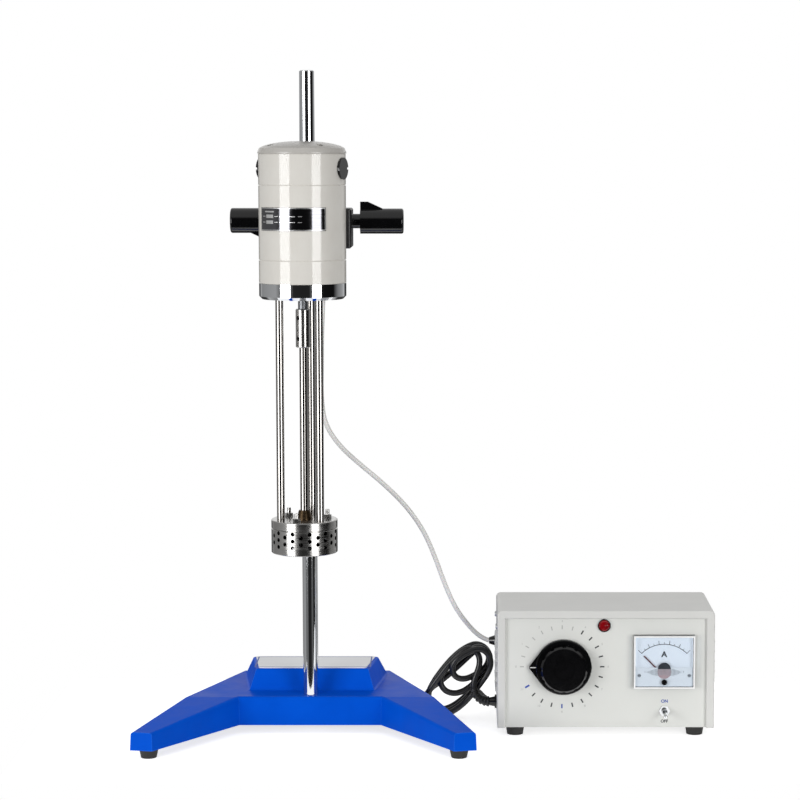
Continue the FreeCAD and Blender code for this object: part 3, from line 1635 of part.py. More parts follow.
# The motor's cable hangs behind the right rod and swings over to the controller.
def motor_cable():
    """It starts at the gland. The rest is in shares of the way from the stand to the box."""
    out_x, out_y = around(S.gland_azimuth, 1)
    far = S.motor_radius + S.motor_gland_end
    bend = []
    for along, drop in ((0, 0), (7, 0), (15.5, 3.5), (22, 10), (25.5, 18.5), (25.5, 28)):
        x = STAND_X + out_x * (far + along)
        y = MOTOR_Y + out_y * (far + along)
        bend.append((x, y, GLAND_HEIGHT - drop))
    end_x = UNIT_LEFT - S.unit_gland_out
    end_y = UNIT_Y + S.motor_gland_y
    end_z = S.motor_gland_z
    top_z = GLAND_HEIGHT - 28
    shares = [
        (0.077, -0.100, 0.952),
        (0.072, -0.140, 0.883),
        (0.071, -0.172, 0.804),
        (0.068, -0.180, 0.724),
        (0.083, -0.168, 0.647),
        (0.157, -0.120, 0.584),
        (0.263, -0.040, 0.531),
        (0.394, 0.060, 0.472),
        (0.515, 0.180, 0.406),
        (0.606, 0.320, 0.334),
        (0.667, 0.460, 0.255),
        (0.717, 0.600, 0.175),
        (0.773, 0.760, 0.103),
        (0.843, 0.900, 0.048),
    ]
    route = bend
    for x, y, z in shares:
        route_x = STAND_X + x * (UNIT_LEFT - STAND_X)
        route_y = STAND_Y + y * (end_y - STAND_Y)
        route.append((route_x, route_y, end_z + z * (top_z - end_z)))
    route += [(end_x - 9, end_y - 0.5, end_z + 3), (end_x, end_y, end_z)]
    tube("motor_cable", route, S.motor_cord_radius)


# The mains cord leaves its gland low down, is tied up as a hank that leans between the stand and
# the box, and ends in a plug behind the box.
def mains_cord():
    body = new_body()
    flat = sketch(body, "XZ_Plane")
    wide = S.hank_width
    tall = S.hank_height
    shares = ((0, 0.7), (0, 0.94), (0.2, 1), (0.68, 0.75), (1, 0.36), (1, 0.1), (0.88, 0), (0.46, 0))
    polygon(flat, [(-S.hank_gap - x * wide, S.hank_lift + z * tall) for x, z in shares])
    pad(body, flat, S.hank_thick, reverse=True)
    dress(body, "Fillet", lambda edge: edge.BoundBox.YMax - edge.BoundBox.YMin < 1, S.hank_edge)
    hank_y = UNIT_Y + S.hank_front
    node("mains_hank", put(body, UNIT_LEFT, hank_y))
    start = (UNIT_LEFT - S.unit_gland_out, UNIT_Y + S.mains_gland_y, S.mains_gland_z)
    lead = [start]
    for x, y, z in ((-14.5, 0.3, 22.6), (-20, 1.8, 25.5), (-23, 4.5, 31), (-24, 7.5, 38)):
        lead.append((UNIT_LEFT + x, start[1] + y, z))
    tube("mains_cord", lead, S.mains_cord_radius)
    back = UNIT_Y + S.unit_depth
    plug_z = S.plug_thick / 2
    plug_x = UNIT_LEFT + S.plug_x
    plug_y = back + S.plug_y
    tail = [
        (UNIT_LEFT - 24, back - 18, 34),
        (UNIT_LEFT - 21, back - 8, 25),
        (UNIT_LEFT - 15, back + 3, 16),
        (UNIT_LEFT - 4, back + 14, 8.5),
        (UNIT_LEFT + 12, back + 20, 5),
        (UNIT_LEFT + 27, back + 21.7, 9.5),
        (plug_x - 8, plug_y, plug_z),
        (plug_x, plug_y, plug_z),
    ]
    tube("mains_tail", tail, S.mains_cord_radius)
    plug = new_body()
    side = sketch(plug, "XY_Plane", -(S.plug_thick / 2))
    half = S.plug_width / 2
    neck = S.mains_cord_radius + 2.5
    waist = S.plug_length / 2
    upper = [(0, neck), (waist, half), (S.plug_length, half)]
    polygon(side, [(x, -y) for x, y in upper] + list(reversed(upper)))
    pad(plug, side, S.plug_thick)

    def long_edge(edge):
        box = edge.BoundBox
        return box.ZMax - box.ZMin < 0.1 and box.XMax - box.XMin > 1

    dress(plug, "Fillet", long_edge, S.plug_edge)
    pins = []
    root = S.plug_length - 1
    for side in (-1, 1):
        y = side * S.pin_pitch / 2
        pins.append(cylinder(S.pin_radius, S.pin_length, root, y, 0, ALONG_X))
    node("mains_plug", put(fuse([plug] + pins), plug_x, plug_y, plug_z))


# Build order.
base_casting()
label_plate()
unit_feet = feet()
column()
boss_head()
clamp_knobs()
support_arm()
mounting_flange()
housings()
top_cover()
nameplate()
brushes()
motor_inside()
coupling()
shear_rotor()
support_rods()
shear_head()
controller_cover()
controller_frame(unit_feet)
speed_knob()
transformer()
pilot_lamp()
toggle_switch()
ammeter()
glands()
motor_cable()
mains_cord()

doc.recompute()
for thing in doc.Objects:
    if {"Invalid", "Error"} & set(thing.State):
        raise RuntimeError(f"{thing.Name} ({thing.Label}) failed: {thing.State}")
for thing in NODES:
    if thing.Shape.isNull() or not thing.Shape.isValid():
        raise RuntimeError(f"{thing.Label} has no valid shape")

os.makedirs("parts", exist_ok=True)
for thing in NODES:
    thing.Shape.exportStep(f"parts/{thing.Label}.step")
print(len(NODES), "sub-parts")
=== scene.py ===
import math
import bpy
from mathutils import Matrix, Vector


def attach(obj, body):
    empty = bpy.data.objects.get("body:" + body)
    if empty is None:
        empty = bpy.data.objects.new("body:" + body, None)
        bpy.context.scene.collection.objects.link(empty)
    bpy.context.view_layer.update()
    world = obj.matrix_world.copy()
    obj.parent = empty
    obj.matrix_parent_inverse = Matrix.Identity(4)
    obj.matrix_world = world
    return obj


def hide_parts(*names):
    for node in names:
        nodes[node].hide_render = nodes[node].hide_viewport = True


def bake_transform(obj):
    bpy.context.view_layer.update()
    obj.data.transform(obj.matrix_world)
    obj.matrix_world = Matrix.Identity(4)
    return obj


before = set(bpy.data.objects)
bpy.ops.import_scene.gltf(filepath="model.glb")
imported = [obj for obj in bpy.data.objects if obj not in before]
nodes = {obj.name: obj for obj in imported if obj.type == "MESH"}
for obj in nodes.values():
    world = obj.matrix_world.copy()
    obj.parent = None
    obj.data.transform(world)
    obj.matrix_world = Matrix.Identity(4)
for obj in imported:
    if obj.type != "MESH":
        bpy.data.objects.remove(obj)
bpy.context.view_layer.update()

mm = 0.001

# ---- Camera -------------------------------------------------------------------------------
# A long lens 2.5 m in front of the stand, a little above the motor and looking 6 degrees down.
# The speed controller stands right of the lens axis, so the frame is shifted to the left.
camera = bpy.data.objects.new("camera", bpy.data.cameras.new("camera"))
camera.data.sensor_width = 36
camera.data.lens = 106.65
camera.data.shift_x = -0.08125
camera.data.clip_end = 20
camera.location = (37.9 * mm, -2471.7 * mm, 614 * mm)
camera.rotation_euler = (math.radians(84), 0, 0)
bpy.context.collection.objects.link(camera)
bpy.context.scene.camera = camera


# ---- Mains lead ---------------------------------------------------------------------------
# Round black PVC three-core lead, 6.6 mm thick, moulded on to its plug. It leaves the left
# side of the speed controller, is folded into a loose hank of six turns between the stand and
# the box, and runs on behind the box.
def srgb(colour):
    """The linear colour of an sRGB hex value."""
    parts = [int(colour[i:i + 2], 16) / 255 for i in (0, 2, 4)]
    return (*[c / 12.92 if c <= 0.04045 else ((c + 0.055) / 1.055) ** 2.4 for c in parts], 1)


def add(owner, kind, **given):
    """Adds a node: a small first letter sets a property, a capital sets or links a socket by
    its name, and in0, in1 and so on do that by place."""
    made = owner.node_tree.nodes.new("ShaderNode" + kind)
    for key, value in given.items():
        by_place = key[:2] == "in" and key[2:].isdigit()
        if key[0].islower() and not by_place:
            setattr(made, key, value)
            continue
        socket = made.inputs[int(key[2:]) if by_place else key.replace("_", " ")]
        if isinstance(value, bpy.types.NodeSocket):
            owner.node_tree.links.new(value, socket)
        else:
            socket.default_value = value
    return made


def blank(name):
    """A material with no nodes in it yet."""
    made = bpy.data.materials.new(name)
    made.use_nodes = True
    made.node_tree.nodes.clear()
    return made


def dress(material, *names):
    """Puts a material on every slot of these CAD nodes."""
    for name in names:
        for place in nodes[name].material_slots:
            place.material = material


def laid(name, points, thick):
    """A cord along one open spline through the route's points in mm, and the line that it
    follows."""
    data = bpy.data.curves.new(name, "CURVE")
    data.dimensions = "3D"
    data.resolution_u = 8
    line = data.splines.new("NURBS")
    line.points.add(len(points) - 1)
    for point, at in zip(line.points, points):
        point.co = (at[0] * mm, at[1] * mm, at[2] * mm, 1)
    line.order_u = 3
    line.use_endpoint_u = True
    cord = bpy.data.objects.new(name, data)
    bpy.context.collection.objects.link(cord)
    path = [v.co.copy() for v in bpy.data.meshes.new_from_object(cord).vertices]
    data.bevel_depth = thick / 2 * mm
    data.bevel_resolution = 5
    return cord, path


def piece(name, verts, faces, material, body, smooth=False):
    """A mesh piece, in metres, that rides on a body."""
    mesh = bpy.data.meshes.new(name)
    mesh.from_pydata(verts, [], faces)
    mesh.materials.append(material)
    mesh.polygons.foreach_set("use_smooth", [smooth] * len(mesh.polygons))
    mesh.update()
    made = bpy.data.objects.new(name, mesh)
    bpy.context.collection.objects.link(made)
    if body:
        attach(made, body)
    return made


def sleeve(name, path, radii, material, body):
    """A round sleeve along a path: radii are pairs of a distance from its start and a radius,
    in mm."""
    reach = [0.0]
    for a, b in zip(path, path[1:]):
        reach.append(reach[-1] + (b - a).length / mm)
    verts, faces, around = [], [], 24
    for along, radius in radii:
        i = max(k for k in range(len(reach) - 1) if reach[k] <= along + 1e-6)
        share = (along - reach[i]) / (reach[i + 1] - reach[i])
        middle = path[i].lerp(path[i + 1], share)
        forward = (path[i + 1] - path[i]).normalized()
        side = forward.cross(Vector((0, 1, 0.01))).normalized()
        up = side.cross(forward)
        for k in range(around):
            turn = 2 * math.pi * k / around
            verts.append(middle + (side * math.cos(turn) + up * math.sin(turn)) * radius * mm)
    for ring in range(len(radii) - 1):
        for k in range(around):
            n = (k + 1) % around
            faces.append([ring * around + k, (ring + 1) * around + k,
                          (ring + 1) * around + n, ring * around + n])
    faces.append(list(range(around)))
    faces.append(list(range((len(radii) - 1) * around, len(radii) * around))[::-1])
    return piece(name, verts, faces, material, body, smooth=True)


def mottled(name, low, high, size, detail=2, rough=0.5, rough_from=(0, 1), rough_by="mottle",
            skin=None, **surface):
    """A finish in two close colours, mottled at a size in mm, or at three sizes where it is
    drawn out into streaks. rough is one roughness, or two that it runs between as the mottle,
    or the skin, runs between rough_from. skin is a finer relief, its size and height in mm.
    The rest are sockets of the surface."""
    made = blank(name)
    place = add(made, "TexCoord").outputs["Object"]
    sizes = size if isinstance(size, tuple) else (size, size, size)
    spread = add(made, "Mapping", Vector=place, Scale=[1 / (s * mm) for s in sizes]).outputs[0]
    mottle = add(made, "TexNoise", Vector=spread, Scale=1, Detail=detail).outputs[0]
    tone = add(made, "Mix", data_type="RGBA", in0=mottle, in6=srgb(low),
               in7=srgb(high)).outputs[2]
    if skin:
        relief = add(made, "TexNoise", Vector=place, Scale=1 / (skin["size"] * mm),
                     Detail=skin["detail"]).outputs[0]
        surface["Normal"] = add(made, "Bump", Strength=skin["strength"],
                                Distance=skin["height"] * mm, Height=relief).outputs[0]
    if isinstance(rough, tuple):
        rough = add(made, "MapRange", Value=relief if rough_by == "skin" else mottle,
                    From_Min=rough_from[0], From_Max=rough_from[1],
                    To_Min=rough[0], To_Max=rough[1]).outputs[0]
    add(made, "OutputMaterial", Surface=add(
        made, "BsdfPrincipled", Base_Color=tone, Roughness=rough, **surface).outputs[0])
    return made


# Extruded PVC: a soft gloss with faint drag lines of the die, and dust in a fine mottle.
black_pvc = mottled("black extruded PVC", "060607", "111112", 6.25, detail=3, rough=(0.28, 0.46),
                    skin=dict(size=1.111, detail=1, strength=0.15, height=0.2), IOR=1.52)

# The hank's turns, front to back: an outer turn, two short ones in front, and three behind.
# Each is larger or smaller than the next, and they fan out where nothing ties them.
lead_points = [
    (63.9, 43.5, 22.0), (59.0, 43.5, 22.0), (51.6, 43.7, 26.0), (47.4, 44.1, 33.6),
    (47.0, 44.6, 42.6), (50.2, 45.2, 51.5), (53.6, 46.4, 60.5), (53.8, 48.0, 69.6),
    (49.2, 49.4, 77.0), (41.0, 50.2, 79.4),
    (33.6, 50.5, 74.8), (25.8, 50.6, 67.2), (18.2, 50.6, 58.8), (11.4, 50.6, 49.6),
    (4.2, 50.8, 39.6), (-2.6, 51.0, 29.4), (-4.6, 51.2, 18.6), (0.6, 51.4, 9.6),
    (9.3, 51.6, 5.0), (18.7, 51.7, 6.0), (27.5, 51.8, 10.6), (35.6, 52.0, 16.8),
    (43.0, 52.0, 24.6), (49.6, 51.8, 33.0), (56.0, 51.0, 41.8), (61.8, 49.8, 50.4),
    (65.6, 48.4, 59.4), (65.4, 47.2, 68.6), (60.6, 46.4, 76.4), (52.6, 46.0, 79.8),
    (43.8, 45.8, 77.0), (35.6, 45.6, 72.6), (27.8, 45.6, 67.0), (23.6, 46.0, 59.2),
    (25.2, 47.4, 50.6), (31.2, 49.4, 45.4), (39.4, 51.4, 45.0), (48.0, 52.6, 48.6),
    (56.4, 53.6, 53.6), (62.6, 54.8, 60.4), (64.4, 56.0, 69.0), (60.0, 57.0, 77.0),
    (51.4, 57.4, 79.6), (42.0, 57.4, 74.6), (32.8, 57.2, 68.0), (24.0, 57.0, 61.6),
    (16.4, 56.8, 54.6), (11.4, 56.6, 46.4), (11.4, 56.6, 37.4), (16.6, 56.8, 30.2),
    (25.0, 57.2, 27.4), (33.6, 57.6, 28.8), (41.4, 58.0, 33.2), (48.4, 58.4, 39.4),
    (55.2, 59.0, 46.2), (61.4, 59.8, 53.2), (65.4, 60.8, 61.6), (64.6, 61.8, 70.8),
    (58.4, 62.6, 77.0), (49.8, 62.8, 74.4), (41.6, 62.8, 67.2), (33.8, 62.6, 59.8),
    (26.0, 62.4, 52.6), (18.0, 62.2, 45.4), (9.6, 62.0, 38.6), (0.8, 61.8, 32.4),
    (-4.6, 61.8, 24.6), (-4.4, 61.8, 15.2), (1.8, 62.0, 8.0), (11.0, 62.2, 5.0),
    (20.4, 62.4, 7.0), (29.2, 62.6, 12.0), (37.0, 62.8, 18.6), (44.0, 63.2, 26.0),
    (50.6, 63.8, 33.8), (56.8, 64.6, 42.0), (62.0, 65.6, 50.6), (65.4, 66.6, 60.0),
    (64.4, 67.6, 69.8), (58.6, 68.2, 77.4), (49.6, 68.4, 80.4), (40.4, 68.2, 77.0),
    (31.6, 68.0, 71.2), (23.6, 67.8, 63.8), (16.4, 67.6, 55.6), (9.6, 67.4, 46.8),
    (3.4, 67.2, 37.6), (-1.6, 67.2, 28.0), (-2.0, 67.4, 18.0), (3.4, 67.6, 10.0),
    (12.4, 67.8, 7.0), (21.6, 68.0, 9.6), (29.8, 68.2, 14.6), (37.2, 68.6, 20.8),
    (44.2, 69.4, 26.0), (50.0, 72.0, 27.4), (53.6, 77.6, 24.0), (57.4, 84.2, 18.0),
    (63.4, 91.0, 12.0), (72.0, 96.4, 7.4), (82.0, 99.8, 5.2), (92.4, 101.2, 6.4),
    (102.0, 101.5, 9.4), (110.0, 101.5, 11.0), (117.9, 101.5, 11.0),
]
mains_lead, lead_path = laid("mains_lead", lead_points, 6.6)
mains_lead.data.materials.append(black_pvc)
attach(mains_lead, "stand")
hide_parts("mains_cord", "mains_hank", "mains_tail")

# Tapered strain reliefs of the same PVC: one slips out of the gland, the other is moulded on
# to the plug. Rings cut round them let them bend.
relief = [(0, 5.6)]
for k in range(6):
    at, thick = 2 + 3.6 * k, 5.5 - 0.3 * k
    relief += [(at, thick), (at + 0.5, thick - 0.9), (at + 1.3, thick - 0.9), (at + 1.8, thick)]
relief += [(24, 3.7), (24.4, 3.3)]
box_relief = sleeve("mains_strain_relief", lead_path, relief, black_pvc, "stand")
plug_relief = sleeve("plug_strain_relief", lead_path[::-1], relief, black_pvc, "stand")


# ---- Motor cable --------------------------------------------------------------------------
# Round white PVC flex, 5 mm thick. It leaves the gland at the motor's back, drops beside the
# column and sweeps down to the left side of the box.
# White PVC has a milky gloss and greys a little where hands have held it.
white_pvc = mottled("white extruded PVC", "DCDBD8", "EDECEA", 28.57, detail=4, rough=(0.3, 0.42),
                    rough_by="skin", skin=dict(size=1.4286, detail=2, strength=0.04, height=0.2),
                    IOR=1.52, Subsurface_Weight=0.05, Subsurface_Scale=1 * mm)

cable_points = [
    (-115.393, -26.125, 492), (-113.937, -19.278, 492), (-112.170, -10.964, 488.5),
    (-110.819, -4.606, 482), (-110.091, -1.182, 473.5), (-110.091, -1.182, 464),
    (-110.854, -1.5, 445.9), (-111.844, -3.5, 419.9), (-112.042, -5.1, 390.1),
    (-112.636, -5.5, 359.9), (-109.666, -4.9, 330.9), (-95.014, -2.5, 307.2),
    (-74.026, 1.5, 287.2), (-48.088, 6.5, 264.9), (-24.13, 12.5, 240.1),
    (-6.112, 19.5, 212.9), (5.966, 26.5, 183.1), (15.866, 33.5, 153.0),
    (26.954, 41.5, 125.8), (40.814, 48.5, 105.1), (54.9, 53.0, 90), (63.9, 53.5, 87),
]
drawn, cable_path = laid("motor_flex_line", cable_points, 5)
motor_flex = bpy.data.objects.new("motor_flex", bpy.data.meshes.new_from_object(drawn))
bpy.context.collection.objects.link(motor_flex)
bpy.data.objects.remove(drawn)
motor_flex.data.materials.clear()
motor_flex.data.materials.append(white_pvc)
motor_flex.data.polygons.foreach_set("use_smooth", [True] * len(motor_flex.data.polygons))
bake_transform(motor_flex)
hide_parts("motor_cable")


# ---- Base casting -------------------------------------------------------------------------
# One heavy grey-iron casting: a low body with two splayed legs in front and a raised plinth
# behind the column. Stoved enamel in a strong blue hides the sand grain but not the slow
# waves of the casting, so highlights wander.
blue_enamel = blank("blue stoved enamel on cast iron")
place = add(blue_enamel, "TexCoord").outputs["Object"]
waves = add(blue_enamel, "TexNoise", Vector=place, Scale=1 / (25 * mm), Detail=2).outputs[0]
peel = add(blue_enamel, "TexNoise", Vector=place, Scale=1 / (3.03 * mm), Detail=2).outputs[0]
dust = add(blue_enamel, "TexNoise", Vector=place, Scale=1 / (0.6667 * mm), Detail=2).outputs[0]
tone = add(blue_enamel, "Mix", data_type="RGBA", in0=waves,
           in6=srgb("004CC4"), in7=srgb("0056D4")).outputs[2]
fleck = add(blue_enamel, "MapRange", Value=dust, From_Min=0.66, From_Max=0.8,
            To_Min=0, To_Max=0.12).outputs[0]
tone = add(blue_enamel, "Mix", data_type="RGBA", in0=fleck, in6=tone,
           in7=srgb("3D7FD8")).outputs[2]
# Painted highlight: the edges are painted a paler blue, in place of the gloss that would catch
# them.
turned = add(blue_enamel, "VectorMath", operation="DOT_PRODUCT",
             in0=add(blue_enamel, "Bevel", Radius=1.6 * mm).outputs[0],
             in1=add(blue_enamel, "NewGeometry").outputs["Normal"]).outputs["Value"]
painted_edge_highlight = add(blue_enamel, "MapRange", Value=turned, From_Min=0.85, From_Max=0.99,
          To_Min=0.45, To_Max=0).outputs[0]
tone = add(blue_enamel, "Mix", data_type="RGBA", in0=painted_edge_highlight, in6=tone,
           in7=srgb("2E7CEC")).outputs[2]
sheen = add(blue_enamel, "MapRange", Value=waves, From_Min=0.3, From_Max=0.7,
            To_Min=0.3, To_Max=0.42).outputs[0]
slow = add(blue_enamel, "Bump", Strength=0.3, Distance=1.2 * mm, Height=waves).outputs[0]
fine = add(blue_enamel, "Bump", Strength=0.16, Distance=0.25 * mm, Height=peel,
           Normal=slow).outputs[0]
add(blue_enamel, "OutputMaterial", Surface=add(
    blue_enamel, "BsdfPrincipled", Base_Color=tone, Roughness=sheen, IOR=1.5,
    Specular_IOR_Level=0.03, Normal=fine).outputs[0])
dress(blue_enamel, "base_casting")


# ---- Label plate on the plinth --------------------------------------------------------------
# Thin aluminium sheet, silk-screened white with a thin blue frame and stuck to the plinth.
# The print has a satin face with faint rolling lines. It is left blank inside the frame.
label_face = 61.88


def printed(name, shapes, place_of, material, body):
    """Ink on a face: shapes are lists of points (across, up) in mm, and place_of gives the
    place of one in mm."""
    verts, faces = [], []
    for shape in shapes:
        faces.append(list(range(len(verts), len(verts) + len(shape))))
        verts += [[c * mm for c in place_of(*point)] for point in shape]
    return piece(name, verts, faces, material, body)


def oblong(left, low, right, high):
    """The corners of an oblong, anticlockwise."""
    return [(left, low), (right, low), (right, high), (left, high)]


def border(left, low, right, high, wide):
    """The four strips of a frame."""
    return [oblong(left, low, right, low + wide), oblong(left, high - wide, right, high),
            oblong(left, low + wide, left + wide, high - wide),
            oblong(right - wide, low + wide, right, high - wide)]


white_print = mottled("white silk-screened aluminium", "E2E4E7", "F0F1F3", (16.67, 0.4, 16.67),
                      rough=(0.32, 0.5), IOR=1.5)
dress(white_print, "label_plate")

# Screen ink lies in a thin, slightly uneven film.
blue_ink = mottled("blue screen ink", "1D3F94", "2E55B4", 1.111, rough=0.45, IOR=1.5)
printed("label_border", border(-188.6, 34.5, -63.6, 86.5, 1.4), lambda x, y: (x, y, label_face),
        blue_ink, "stand")


# ---- Stand feet and their screws ------------------------------------------------------------
# Turned discs of black rubber under the toes and the body, each held by a cross-head screw
# from below. Moulded rubber is matt, dusty and faintly pitted.
black_rubber = mottled("black moulded rubber", "121212", "272625", 8.333, detail=5,
                       rough=(0.55, 0.8), IOR=1.5,
                       skin=dict(size=0.4545, detail=2, strength=0.3, height=0.15))
dress(black_rubber, "stand_feet", "controller_feet")

# Turned and zinc-plated steel for screws, nuts and hidden spindles: bright, a little cloudy,
# with fine tool marks.
plated_steel = mottled("zinc-plated turned steel", "A8ABAE", "CFD1D2", 3.846, detail=4,
                       rough=(0.2, 0.42), Metallic=1,
                       skin=dict(size=0.2857, detail=1, strength=0.15, height=0.05))
dress(plated_steel, "foot_screws", "column_nut", "side_screws", "cover_screws",
      "speed_shaft", "transformer_bracket")


# ---- Column ---------------------------------------------------------------------------------
# Ground round bar, 16 mm, hard-chromed and polished, held in the base by a nut from below.
# Chrome mirrors the room in tall streaks. The grinding leaves it a breath of vertical haze.
hard_chrome = mottled("polished hard chrome", "D4D6D9", "E2E4E6", (6.25, 6.25, 125), detail=3,
                      rough=(0.04, 0.07), rough_from=(0.3, 0.7), Metallic=1)
dress(hard_chrome, "column", "mounting_flange", "support_arm", "lamp_bezel", "toggle_nut",
      "toggle_lever")


# ---- Boss head and its clamp knobs ----------------------------------------------------------
# An iron casting bored for the column and for the motor's arm, in black powder coat. The coat
# is satin with a fine grain of about 1 mm.
black_coat = mottled("black powder coat on iron", "101011", "1F1F20", 14.29, detail=4,
                     rough=(0.32, 0.5), IOR=1.5,
                     skin=dict(size=1, detail=2, strength=0.25, height=0.15))
dress(black_coat, "boss_head")

# Phenolic mouldings: hard, deep black and glossy, with faint flow marks.
phenolic = blank("black phenolic moulding")
place = add(phenolic, "TexCoord").outputs["Object"]
flow = add(phenolic, "TexNoise", Vector=place, Scale=1 / (11.11 * mm), Detail=3,
           Distortion=1).outputs[0]
tone = add(phenolic, "Mix", data_type="RGBA", in0=flow,
           in6=srgb("050506"), in7=srgb("0D0D0F")).outputs[2]
sheen = add(phenolic, "MapRange", Value=flow, To_Min=0.1, To_Max=0.18).outputs[0]
skin = add(phenolic, "TexNoise", Vector=place, Scale=1 / (1.667 * mm), Detail=1).outputs[0]
rise = add(phenolic, "Bump", Strength=0.06, Distance=0.15 * mm, Height=skin).outputs[0]
add(phenolic, "OutputMaterial", Surface=add(
    phenolic, "BsdfPrincipled", Base_Color=tone, Roughness=sheen, IOR=1.55,
    Normal=rise).outputs[0])
dress(phenolic, "column_knob", "arm_knob", "brush_caps", "speed_knob", "motor_cable_gland",
      "mains_gland", "motor_gland", "ammeter_case", "ammeter_zero_screw")

# The plug is the lead's own PVC, and its two pins are nickel-plated brass from where they
# leave it.
plug_moulding = blank("moulded PVC plug with nickel-plated pins")
plug_end = 155.95
place = add(plug_moulding, "TexCoord").outputs["Object"]
pins = add(plug_moulding, "Math", operation="GREATER_THAN", in1=plug_end * mm,
           in0=add(plug_moulding, "SeparateXYZ", Vector=place).outputs[0]).outputs[0]
grain = add(plug_moulding, "TexNoise", Vector=place, Scale=1 / (1.111 * mm), Detail=2).outputs[0]
tone = add(plug_moulding, "Mix", data_type="RGBA", in0=grain,
           in6=srgb("0C0C0D"), in7=srgb("161617")).outputs[2]
tone = add(plug_moulding, "Mix", data_type="RGBA", in0=pins, in6=tone,
           in7=srgb("C9C4B8")).outputs[2]
sheen = add(plug_moulding, "MapRange", Value=pins, To_Min=0.38, To_Max=0.2).outputs[0]
rise = add(plug_moulding, "Bump", Strength=0.15, Distance=0.1 * mm, Height=grain).outputs[0]
add(plug_moulding, "OutputMaterial", Surface=add(
    plug_moulding, "BsdfPrincipled", Base_Color=tone, Metallic=pins, Roughness=sheen,
    IOR=1.53, Normal=rise).outputs[0])
dress(plug_moulding, "mains_plug")


# ---- Motor housings -------------------------------------------------------------------------
# Three aluminium castings turned outside and held together by long bolts inside, in a warm
# pale grey stoved paint. The paint is glossy with a little orange peel.
grey_enamel = mottled("warm grey stoved paint", "D8D4CD", "E1DFD9", 16.67, detail=4,
                      rough=(0.07, 0.13), IOR=1.5,
                      skin=dict(size=2.222, detail=1, strength=0.03, height=0.2))
dress(grey_enamel, "lower_housing", "middle_housing", "upper_housing")

# The domed cover is pressed from sheet and painted a little darker and duller than the housings.
cover_enamel = mottled("darker grey stoved paint", "B4B1AC", "C0BDB8", 16.67, detail=4,
                       rough=(0.22, 0.34), IOR=1.5,
                       skin=dict(size=2.222, detail=1, strength=0.08, height=0.2))
dress(cover_enamel, "top_cover")


# ---- Nameplate ------------------------------------------------------------------------------
# Thin black-anodised aluminium sheet, bent round the middle housing and stuck on. Its frame
# and the blank boxes for the ratings are left bright. Polished and anodised, it is a dark mirror:
# black where the room is dark, and bright in two bands where it meets the soft boxes.
anodised = mottled("black anodised aluminium", "5C5C60", "7A7A7E", (25, 25, 0.5556),
                   rough=(0.07, 0.13), Metallic=1)
dress(anodised, "nameplate")

bare_sheet = mottled("bare brushed aluminium", "C4C5C6", "E4E4E4", (25, 25, 0.4),
                     rough=(0.25, 0.4), Metallic=0.8)
head_x, head_y = -126.1, -76.5
plate_radius, plate_turn, plate_height = 44.68, -13.3, 546.5


def on_plate(across, up):
    """A place on the bent plate: across runs round the motor from the plate's middle."""
    turn = math.radians(plate_turn) + across / plate_radius
    return (head_x + plate_radius * math.sin(turn), head_y - plate_radius * math.cos(turn),
            plate_height + up)


def curved(left, low, right, high):
    """An oblong in short steps, so that it follows the bend."""
    steps = max(1, math.ceil((right - left) / 3))
    edges = [left + (right - left) * k / steps for k in range(steps + 1)]
    return [oblong(a, low, b, high) for a, b in zip(edges, edges[1:])]


plate_marks = []
for strip in border(-37.4, -11, 37.4, 11, 0.5):
    plate_marks += curved(*strip[0], *strip[2])
plate_marks += curved(-30, 6.8, -17, 8.2)
for low in (1.2, -4.6):
    plate_marks += curved(-28.1, low, -18.1, low + 3.4)
    for left, right in ((-34, -29.6), (-16.6, -12.4), (-10.4, -4), (-1, 6), (9, 13)):
        plate_marks += curved(left, low + 1.2, right, low + 1.9)
printed("nameplate_frame_and_boxes", plate_marks, on_plate, bare_sheet, "motor_head")


# ---- Inside the motor -----------------------------------------------------------------------
# A series motor: laminated field and armature, ball bearings, carbon brushes. Stacked
# silicon-steel sheets, 0.5 mm each, show as fine level lines, drawn 1 mm apart to show. A
# wave texture repeats each 0.314 / Scale.
laminations = blank("stacked silicon steel")
place = add(laminations, "TexCoord").outputs["Object"]
sheets = add(laminations, "TexWave", Vector=place, wave_type="BANDS", bands_direction="Z",
             Scale=0.314 / (0.981 * mm), Distortion=0.5).outputs[0]
tone = add(laminations, "Mix", data_type="RGBA", in0=sheets,
           in6=srgb("6C6E72"), in7=srgb("9A9CA0")).outputs[2]
rise = add(laminations, "Bump", Strength=0.4, Distance=0.1 * mm, Height=sheets).outputs[0]
add(laminations, "OutputMaterial", Surface=add(
    laminations, "BsdfPrincipled", Base_Color=tone, Metallic=0.9, Roughness=0.42,
    Normal=rise).outputs[0])
dress(laminations, "field_stator", "armature", "bearings")

pressed_carbon = mottled("pressed carbon", "1A1A1B", "3A3A3B", 0.5556, detail=3, rough=0.55)
dress(pressed_carbon, "carbon_brushes")


# ---- Shear head -----------------------------------------------------------------------------
# Top plate, studs, perforated ring, rotor and shaft are turned from stainless bar and polished.
# The lathe leaves rings round the axis, about 0.4 mm apart, drawn a little coarser to show.
turned_stainless = blank("turned stainless steel")
place = add(turned_stainless, "TexCoord").outputs["Object"]
off_axis = add(turned_stainless, "VectorMath", operation="SUBTRACT", in0=place,
               in1=(head_x * mm, head_y * mm, 0)).outputs[0]
split = add(turned_stainless, "SeparateXYZ", Vector=off_axis)
flat_part = add(turned_stainless, "CombineXYZ", X=split.outputs[0], Y=split.outputs[1])
radius = add(turned_stainless, "VectorMath", operation="LENGTH",
             in0=flat_part.outputs[0]).outputs["Value"]
lathe = add(turned_stainless, "CombineXYZ", X=radius, Y=split.outputs[2]).outputs[0]
rings = add(turned_stainless, "TexNoise", Vector=lathe, Scale=1 / (0.7143 * mm),
            Detail=2).outputs[0]
